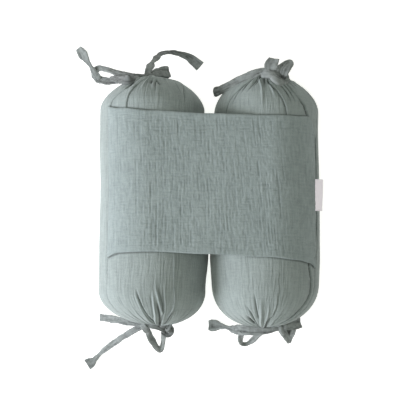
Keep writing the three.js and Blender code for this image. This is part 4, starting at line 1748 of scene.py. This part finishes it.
TOP_LEFT_LEFT_TAIL = Strand(
    "tie_top_left_left_tail", ("tie_top_left_tail_left",),
    Ribbon(
        route=(
            (-138.2, 158.4, 17), (-140.1, 161.2, 20), (-143.8, 167.8, 19.5), (-147.8, 174.8, 16.5),
            (-151.7, 181.7, 12), (-155.6, 188, 8), (-159.6, 194, 5), (-163.4, 199.6, 3.8),
            (-167.1, 204.9, 3.6),
        ),
        shape=flat_strip(
            (0, 8, 3.2, 0, 10), (0.12, 9.4, 3.4, -0.3, 16), (0.28, 8.4, 3.4, -0.3, 20),
            (0.42, 5, 3.2, 0, 20), (0.54, 6, 3, 0.4, 20), (0.68, 9.6, 2.8, 1, 22),
            (0.82, 12.4, 2.8, 1.4, 22), (0.94, 11.4, 3, 1.6, 20), (1, 8.6, 3.2, 1.4, 16),
        ),
        seed=7,
    ),
    width=8.5,
)

TOP_LEFT_RIGHT_TAIL = Strand(
    "tie_top_left_right_tail", ("tie_top_left_tail_right",),
    Ribbon(
        route=(
            (-75.4, 149.7, 76), (-73.9, 154.4, 75), (-72, 162.4, 68), (-70.1, 169.7, 59),
            (-68.4, 175.1, 52), (-65, 181.8, 43), (-59.5, 189.7, 33), (-52.3, 193.8, 23.5),
            (-44.5, 195.9, 15), (-36.5, 195.5, 9), (-28.2, 193.2, 5.2), (-20.3, 188.8, 3.8),
            (-11.3, 181.1, 3.4),
        ),
        shape=flat_strip(
            (0, 6.4, 3.6, 0, 0), (0.07, 8.6, 3.6, 0.3, 0), (0.17, 9.6, 3.4, 0.4, 0),
            (0.26, 5.2, 4, 0, 0), (0.31, 5.6, 3.8, 0, 0), (0.38, 9, 3.2, 0.4, 10),
            (0.46, 7.4, 3, 0.5, 24), (0.62, 7.2, 2.8, 0.5, 30), (0.72, 7.6, 2.8, 0.4, 24),
            (0.8, 9.8, 2.6, 0.8, 14), (0.9, 13.2, 2.6, 1, 6), (1, 14, 2.8, 1.2, 4),
        ),
        seed=14,
        painted_dimming=((0, 0.05), (0.32, 0), (0.45, 0.4), (0.7, 0.5), (0.85, 0.2), (1, 0.08)),
    ),
    width=9.5,
)

TOP_RIGHT_TAIL = Strand(
    "tie_top_right_tail_strand", ("tie_top_right_tail",),
    Ribbon(
        route=(
            (72.9, 148.9, 103), (64.6, 149.1, 104), (55.8, 147.3, 103.5), (47.7, 144.1, 101),
            (38.9, 140.9, 97.5), (30.2, 138, 92.5), (22, 135.4, 85.5), (14.6, 133.7, 77),
            (7, 132.9, 66),
        ),
        shape=flat_strip(
            (0, 6.4, 4, 0, 0), (0.12, 8.2, 3.6, 0.3, 12), (0.28, 10, 3, 0.6, 8),
            (0.45, 10.6, 3, 0.7, 4), (0.6, 9.4, 3.2, 0.5, 0), (0.74, 8.8, 3.8, 0.2, 0),
            (0.88, 10.8, 4.6, -0.4, 0), (1, 12.2, 5.6, -0.8, 0),
        ),
        seed=21,
        painted_dimming=((0, 0.1), (0.2, 0), (0.72, 0.03), (0.84, 0.28), (1, 0.6)),
    ),
    width=9.5,
)

BOTTOM_LEFT_STRAP = Strand(
    "tie_bottom_left_strap_strand", ("tie_bottom_left_strap",),
    Ribbon(
        route=(
            (-76, -147.2, 57), (-83.4, -146.3, 53), (-91.6, -145.2, 47), (-100.7, -143.6, 39),
            (-110.6, -141.2, 30), (-120.7, -139.5, 20), (-128.9, -138.5, 12), (-134.5, -138, 5.5),
        ),
        shape=flat_strip(
            (0, 4.4, 3.2, 0, 0), (0.12, 4.8, 3, 0.3, 4), (0.35, 6.8, 2.8, 0.5, 6),
            (0.55, 8.8, 2.8, 0.5, 4), (0.8, 9, 2.8, 0.5, 0), (1, 8.6, 3, 0.4, 0),
        ),
        seed=27,
        painted_dimming=((0, 0.45), (0.3, 0.36), (0.6, 0.18), (1, 0.18)),
    ),
)

BOTTOM_LEFT_TAIL = Strand(
    "tie_bottom_left_tail_strand", ("tie_bottom_left_tail",),
    Ribbon(
        route=(
            (-75.8, -147.7, 59), (-81.2, -149.2, 58.5), (-87.9, -152.4, 53), (-96.5, -157, 43),
            (-105.8, -162.4, 32.5), (-115.7, -168.7, 22), (-125.3, -175.1, 13.5),
            (-133.9, -182.1, 7.5), (-139.1, -187.1, 5), (-143.3, -191.3, 4), (-150.2, -195.9, 3.6),
        ),
        shape=flat_strip(
            (0, 6, 3.6, 0, 0), (0.08, 8, 3.4, 0.3, 0), (0.2, 8.4, 3, 0.6, -6),
            (0.35, 7.2, 2.8, 0.6, -4), (0.55, 7.4, 2.8, 0.5, 0), (0.7, 6.6, 2.8, 0.4, 0),
            (0.82, 4.8, 2.8, 0.1, 0), (0.88, 6.4, 2.8, 0.8, 0), (0.95, 11.6, 2.8, 2, 0),
            (1, 13, 3.2, 2.4, 0),
        ),
        seed=33,
        painted_dimming=((0, 0.36), (0.2, 0.22), (0.5, 0.06), (1, 0.06)),
    ),
    width=9,
)

BOTTOM_LEFT_LOOP = Strand(
    "tie_bottom_left_loop_strand", ("tie_bottom_left_loop",),
    Ribbon(
        route=(
            (-74.6, -148.6, 56.5), (-73, -154.6, 51), (-70.4, -162, 42), (-66.7, -169.1, 33),
            (-62.7, -175.1, 25.5), (-59.7, -178, 22.5), (-57.2, -174.1, 24.5), (-55.6, -167, 33),
            (-54.7, -160.1, 42.5), (-53.2, -154.1, 50),
        ),
        shape=flat_strip(
            (0, 5.5, 3.2, 0, 0), (0.12, 7.2, 3, 0.4, 10), (0.35, 8.2, 2.8, 0.6, 8),
            (0.5, 7.6, 2.8, 0.4, 0), (0.58, 6.2, 2.8, 0.2, 0), (0.75, 5.8, 2.8, 0.3, 0),
            (1, 6, 2.8, 0, 0),
        ),
        ends=(TieEnd.TUCKED, TieEnd.TUCKED),
        seed=39,
    ),
    far_end="object",
    width=7,
)

BOTTOM_RIGHT_BAND = Strand(
    "tie_bottom_right_band_strand", ("tie_bottom_right_band", "tie_bottom_right_tail"),
    Ribbon(
        route=(
            (88.8, -150.3, 60), (81, -150.7, 61.5), (72.7, -152.9, 61.5), (63.3, -153.9, 61),
            (53.9, -154, 60), (45.7, -153.3, 58), (38.7, -152.7, 53), (32.4, -152.3, 45),
            (26.3, -151.4, 35.5), (20.2, -149.7, 25.5), (14.2, -148.3, 16), (8.4, -147.6, 9),
            (0.2, -147.1, 5.2),
        ),
        shape=flat_strip(
            (0, 5.4, 3.6, 0, 0), (0.08, 7, 3.4, 0.3, 8), (0.2, 9.2, 3, 0.5, 12),
            (0.34, 9.8, 2.8, 0.7, 12), (0.44, 12.2, 2.8, 0.8, 8), (0.52, 11.4, 2.8, 0.7, 4),
            (0.6, 8.6, 3, 0.4, 0), (0.68, 5.8, 3.2, 0.1, 0), (0.75, 4.8, 3.2, 0, 0),
            (0.82, 8.4, 3, 1, 0), (0.9, 13.6, 3, 2.2, 0), (0.96, 14.4, 3.2, 2.6, 0),
            (1, 11.6, 3.4, 2.2, 0),
        ),
        seed=45,
        painted_dimming=((0, 0.26), (0.2, 0.17), (0.5, 0.19), (0.62, 0.08), (1, 0.12)),
    ),
    width=10.5,
)

BOTTOM_RIGHT_LOOP = Strand(
    "tie_bottom_right_loop_strand", ("tie_bottom_right_loop",),
    Ribbon(
        route=(
            (39.2, -155.3, 55), (38, -160.1, 48), (37.8, -165.2, 40), (39.6, -169.1, 33),
            (44.8, -169.9, 30.5), (50.3, -167, 33), (55.5, -162.1, 41), (60, -157.4, 49),
            (64.1, -153.4, 56),
        ),
        shape=flat_strip(
            (0, 6.8, 2.8, 0.2, 0), (0.15, 6.8, 2.6, 0.4, 14), (0.36, 5.6, 2.6, 0.2, 10),
            (0.5, 4.8, 2.8, 0.2, 0), (0.62, 7.2, 2.8, 0.3, -16), (0.8, 8, 2.8, 0.4, -20),
            (1, 6, 2.8, 0, -8),
        ),
        ends=(TieEnd.TUCKED, TieEnd.TUCKED),
        seed=51,
    ),
    far_end="object",
    width=8.5,
)

TUCKED_BOTH = (TieEnd.TUCKED, TieEnd.TUCKED)

TOP_LEFT_KNOT = Knot(
    "tie_top_left_knot_turns",
    ("tie_top_left_knot", "tie_top_left_ear"),
    (
        Ribbon(
            (
                (-98.2, 150, 66), (-91.6, 149.1, 73.5), (-84.6, 149.8, 77.5), (-77.3, 149.7, 79),
                (-69.6, 148.6, 78.5), (-62.5, 148, 76), (-56.7, 148.2, 72),
            ),
            flat_strip(
                (0, 8.4, 4, 0, 0), (0.3, 6.4, 4, 0.2, 0), (0.5, 4.8, 3.4, 0.2, 0),
                (0.8, 4.4, 3.2, 0, 0), (1, 3.6, 2.6, 0, 0),
            ),
            TUCKED_BOTH, 57, ((0, 0.2), (0.3, 0.4), (1, 0.3)),
        ),
        Ribbon(
            (
                (-84.5, 148.4, 79), (-87.8, 144, 91), (-91.7, 140.3, 101), (-97.2, 140, 99),
                (-105.2, 144.5, 82), (-113.9, 151.5, 60), (-121.1, 156.5, 44),
            ),
            flat_strip(
                (0, 6, 2.6, 0, 0), (0.14, 10.6, 3, 0.2, 0), (0.3, 11.6, 3, 0.3, 0),
                (0.5, 12, 2.8, 0.4, -6), (0.7, 12.4, 2.8, 0.4, -10), (0.88, 10, 2.6, 0.3, -10),
                (1, 4, 2.6, 0, 0),
            ),
            TUCKED_BOTH, 61, ((0, 0.3), (0.1, 0.2), (0.2, 0.45), (0.32, 0.5), (0.6, 0.38), (1, 0.34)),
        ),
        Ribbon(
            (
                (-78.1, 148.9, 77), (-70.9, 151, 77.5), (-63.3, 154.2, 74.5), (-56.1, 156.8, 69.5),
                (-48.6, 158.3, 63.6),
            ),
            flat_strip(
                (0, 4.6, 2.8, 0, 0), (0.25, 7.4, 2.8, 0.4, 6), (0.55, 12.6, 2.8, 0.8, 6),
                (0.85, 15.4, 2.8, 0.9, 4), (1, 15.4, 3, 0.9, 4),
            ),
            (TieEnd.TUCKED, TieEnd.OPEN), 65, ((0, 0.2), (0.6, 0.02), (1, 0)),
        ),
        Ribbon(
            (
                (-71, 149, 74), (-62.8, 150.6, 71.5), (-55.3, 153.1, 66.5), (-49.9, 155.2, 61),
            ),
            flat_strip(
                (0, 4, 2.6, 0, 0), (0.4, 8, 2.6, 0.3, 0), (0.8, 9.4, 2.6, 0.4, 0), (1, 8, 2.6, 0.4, 0),
            ),
            TUCKED_BOTH, 66, ((0, 0.3), (1, 0.4)),
        ),
        Ribbon(
            (
                (-79, 147.5, 73), (-77.2, 147.8, 79.5), (-74.2, 150.3, 81.5), (-71.3, 153.1, 78),
                (-70.5, 155.1, 72),
            ),
            flat_strip(
                (0, 4.6, 2.6, 0, 0), (0.5, 5.2, 2.6, 0.2, 0), (1, 4.4, 2.4, 0, 0),
            ),
            TUCKED_BOTH, 67,
        ),
    ),
)

TOP_RIGHT_KNOT = Knot(
    "tie_top_right_knot_turns",
    ("tie_top_right_knot", "tie_top_right_ear_up", "tie_top_right_ear_side"),
    (
        Ribbon(
            (
                (62, 145.1, 99), (64.7, 144.8, 106), (69.4, 144, 110), (75.2, 143.1, 110.5),
                (80.3, 142.2, 107.5), (83.5, 142.2, 101),
            ),
            flat_strip(
                (0, 6.4, 4, 0, 0), (0.25, 9.6, 5.8, -0.4, 4), (0.6, 9.8, 6.2, -0.4, 4),
                (0.85, 8, 5, 0, 0), (1, 6, 3, 0, 0),
            ),
            TUCKED_BOTH, 71,
        ),
        Ribbon(
            (
                (72.1, 144.5, 107), (74.8, 139.8, 112.5), (78.9, 136.2, 113.5), (83.3, 134, 110),
                (86.8, 132.3, 103), (88, 131.9, 97),
            ),
            flat_strip(
                (0, 6.4, 4, 0, 0), (0.3, 9.4, 5.4, -0.4, 4), (0.65, 10, 6, -0.4, 4),
                (0.85, 8.4, 5, 0, 0), (1, 5.6, 3, 0, 0),
            ),
            TUCKED_BOTH, 73,
        ),
        Ribbon(
            (
                (78.2, 143.9, 104), (75.6, 147.4, 108), (73.4, 151, 109.5), (73.1, 155.4, 108.5),
                (74.8, 159.4, 107), (76.6, 163.1, 105.5),
            ),
            flat_strip(
                (0, 8, 3.4, 0, 8), (0.25, 13, 3.2, 0.8, 16), (0.5, 16.6, 3, 1, 16),
                (0.75, 16, 3, 1.2, 16), (1, 13.4, 3.2, 1.4, 16),
            ),
            (TieEnd.TUCKED, TieEnd.OPEN), 79,
        ),
        Ribbon(
            (
                (85.9, 135.7, 106), (86.8, 139.8, 110.5), (88.1, 144.5, 112.5), (90.4, 150.2, 111),
                (93.5, 155.3, 108), (95.4, 158.5, 105), (93.5, 160.9, 102), (88.9, 159.2, 103),
                (83.3, 155.1, 106), (80, 151.4, 109),
            ),
            flat_strip(
                (0, 6, 3.2, 0, 10), (0.12, 6, 3.4, 0.2, 12), (0.2, 9.4, 3.4, 0.4, 12), (0.35, 11, 3.4, 0.6, 14),
                (0.48, 10, 3.2, 0.6, 12), (0.58, 7.2, 3, 0.4, 4), (0.68, 4.6, 3, 0.2, 0),
                (0.8, 4, 3, 0, 0), (1, 4, 3, 0, 0),
            ),
            TUCKED_BOTH, 83, ((0, 0.1), (0.08, 0.1), (0.11, 1), (0.15, 1), (0.19, 0.05), (1, 0)),
        ),
        Ribbon(
            (
                (80.9, 148.3, 106), (84.8, 147.1, 110), (88.8, 143.7, 110), (91.1, 139.7, 106),
                (90.7, 136.4, 99),
            ),
            flat_strip(
                (0, 4.8, 3, 0, 0), (0.3, 6, 3.2, 0.2, 0), (0.7, 6, 3.2, 0.2, 0), (1, 4.4, 2.8, 0, 0),
            ),
            TUCKED_BOTH, 89, ((0, 0.3), (0.25, 0), (0.8, 0), (1, 0.5)),
        ),
        Ribbon(
            (
                (82, 133, 105), (86.6, 133.4, 106.5), (90.7, 136, 104.5), (93.8, 140.4, 99.5),
            ),
            flat_strip(
                (0, 4.8, 2.8, 0, 0), (0.4, 5.4, 3, 0.2, -4), (1, 4, 2.8, 0, 0),
            ),
            TUCKED_BOTH, 91, ((0, 0.2), (0.4, 0), (1, 0.1)),
        ),
        Ribbon(
            (
                (86, 156.8, 104), (84.5, 151.9, 108), (83.4, 146.7, 109.5), (83, 142.3, 108),
                (84.4, 139.5, 105),
            ),
            flat_strip(
                (0, 5, 2.4, 0, 0), (0.25, 10.5, 3, 0.3, 8), (0.6, 11, 3, 0.3, 8), (0.85, 7, 3, 0, 4),
                (1, 4, 2.6, 0, 0),
            ),
            TUCKED_BOTH, 95, ((0, 0.1), (0.35, 0), (0.52, 0.05), (0.62, 0.7), (0.7, 0.1), (1, 0.3)),
        ),
    ),
)

BOTTOM_LEFT_KNOT = Knot(
    "tie_bottom_left_knot_turns",
    ("tie_bottom_left_knot", "tie_bottom_left_ear"),
    (
        Ribbon(
            (
                (-89.6, -146.1, 50), (-82, -146.5, 56.5), (-73.4, -147.2, 60.5), (-65.1, -148.6, 61),
                (-58, -151.2, 59), (-52.3, -154.3, 55),
            ),
            flat_strip(
                (0, 3.6, 3, 0, 0), (0.3, 5.2, 3.2, 0.2, 0), (0.55, 6.6, 3, 0.2, 0),
                (0.8, 6.2, 3, 0.2, 0), (1, 5, 2.8, 0, 0),
            ),
            TUCKED_BOTH, 93, ((0, 0.3), (0.6, 0.2), (0.8, 0.4), (1, 0.5)),
        ),
        Ribbon(
            (
                (-80.5, -144.9, 53), (-78.6, -147, 60.5), (-75.7, -151, 61.5), (-73.6, -154.8, 56),
                (-73.5, -156.5, 50),
            ),
            flat_strip(
                (0, 5.6, 2.6, 0, 0), (0.5, 7.2, 2.8, 0.3, 0), (1, 5.4, 2.6, 0, 0),
            ),
            TUCKED_BOTH, 97,
        ),
        Ribbon(
            (
                (-60.5, -147.7, 58), (-54.5, -147.9, 60), (-48.6, -149.3, 59), (-45.1, -153.4, 55.5),
                (-46.7, -157.6, 52), (-51.7, -157.9, 51.5), (-55.9, -154.8, 53.5),
            ),
            flat_strip(
                (0, 5, 3, 0, 0), (0.25, 7, 3.2, 0.9, 14), (0.5, 8, 3.2, 1.4, 10),
                (0.75, 7.4, 3, 0.8, 0), (1, 5, 2.8, 0, 0),
            ),
            TUCKED_BOTH, 101, ((0, 0.2), (0.3, 0.42), (0.6, 0.5), (1, 0.5)),
        ),
        Ribbon(
            (
                (-50.9, -153.5, 58.5), (-48, -150.5, 60.5), (-46.5, -147, 59), (-46.4, -144.2, 54),
            ),
            flat_strip(
                (0, 4.6, 2.8, 0, 0), (0.5, 6, 2.8, 0.8, 20), (1, 4.8, 2.6, 0.4, 10),
            ),
            TUCKED_BOTH, 103, ((0, 0.35), (1, 0.3)),
        ),
    ),
)

BOTTOM_RIGHT_KNOT = Knot(
    "tie_bottom_right_knot_turns",
    ("tie_bottom_right_knot", "tie_bottom_right_end_low", "tie_bottom_right_ear"),
    (
        Ribbon(
            (
                (84.8, -145.1, 57), (84.9, -147.9, 65), (85.7, -152.3, 66.5), (87, -156.4, 62),
                (87.9, -158.8, 55),
            ),
            flat_strip(
                (0, 5, 2.8, 0, 0), (0.5, 5.8, 3, -0.3, 10), (1, 5, 2.8, 0, 0),
            ),
            TUCKED_BOTH, 105,
        ),
        Ribbon(
            (
                (83.4, -148.7, 60), (86.2, -153.1, 60.5), (90, -158.1, 56), (93.6, -163.1, 49),
                (96, -167.8, 41),
            ),
            flat_strip(
                (0, 6, 3, 0, 0), (0.25, 9.4, 2.8, 0.5, 0), (0.6, 8.2, 2.8, 0.6, 0),
                (0.85, 5.2, 2.8, 0.6, 0), (1, 3.8, 2.6, 0.6, 0),
            ),
            (TieEnd.TUCKED, TieEnd.OPEN), 109,
        ),
        Ribbon(
            (
                (100.1, -147.5, 58.5), (100.3, -151.7, 58.5), (98.9, -156.9, 55), (97.4, -162.4, 48.5),
                (96.7, -167.8, 40.6),
            ),
            flat_strip(
                (0, 6, 3, 0, 0), (0.3, 7, 2.8, 0.4, 0), (0.6, 5.6, 2.8, 0.4, 0),
                (0.85, 5, 2.8, 0.4, 0), (1, 3.6, 2.6, 0.4, 0),
            ),
            (TieEnd.TUCKED, TieEnd.OPEN), 110, ((0, 0.2), (1, 0.1)),
        ),
        Ribbon(
            (
                (89, -148.9, 57), (92.6, -153.4, 56), (94.6, -157, 52), (95.4, -161, 46),
            ),
            flat_strip(
                (0, 8, 2.6, 0, 0), (0.5, 10, 2.6, 0.2, 0), (1, 6, 2.4, 0, 0),
            ),
            TUCKED_BOTH, 111, ((0, 0.5), (1, 0.7)),
        ),
        Ribbon(
            (
                (87.6, -150, 60), (93.9, -148.6, 61.5), (100.3, -146.7, 58.5), (104.5, -145.3, 54),
                (108.5, -144.2, 50),
            ),
            flat_strip(
                (0, 7, 3, 0, 0), (0.3, 10, 2.8, 0.8, 0), (0.65, 12.4, 2.6, 1.3, 0),
                (1, 12.2, 3, 1.6, 0),
            ),
            (TieEnd.TUCKED, TieEnd.OPEN), 113,
        ),
    ),
)


@dataclass(frozen=True)
class TieSet:
    """One gather's tie: its knot and its free strands."""

    knot: Knot
    strands: tuple[Strand, ...]

    def build(self, material: bpy.types.Material) -> list[bpy.types.Object]:
        """Makes the tie.

        Args:
            material: The ties' muslin.

        Returns:
            Its pieces.
        """
        knot = self.knot.build(material)
        pieces = [strand.build(material) for strand in self.strands]
        for index, (strand, piece) in enumerate(zip(self.strands, pieces)):
            strand.declare(piece, [knot] if index == 0 else [])
        return [knot, *pieces]


TIES = (
    TieSet(TOP_LEFT_KNOT, (TOP_LEFT_RIGHT_TAIL, TOP_LEFT_LOOP, TOP_LEFT_LEFT_TAIL)),
    TieSet(TOP_RIGHT_KNOT, (TOP_RIGHT_TAIL,)),
    TieSet(BOTTOM_LEFT_KNOT, (BOTTOM_LEFT_TAIL, BOTTOM_LEFT_STRAP, BOTTOM_LEFT_LOOP)),
    TieSet(BOTTOM_RIGHT_KNOT, (BOTTOM_RIGHT_BAND, BOTTOM_RIGHT_LOOP)),
)


def main() -> None:
    """Builds the camera, the ties, the rolls, the panel and the label, and then the studio."""
    logging.basicConfig(level=logging.INFO, format="%(message)s")
    studio = Studio()
    studio.place_camera()
    tie_material = TIE.build()
    for tie in TIES:
        for piece in tie.build(tie_material):
            report(piece)
    cover_material = COVER.build()
    for roll in (LEFT_ROLL, RIGHT_ROLL):
        report(roll.build(cover_material))
    panel = Panel(LEFT_ROLL, RIGHT_ROLL)
    report(panel.build(PANEL.build()))
    report(Label(panel).build(TAPE.build()))
    studio.lay_floor()
    studio.light()


if __name__ == "__main__":
    main()
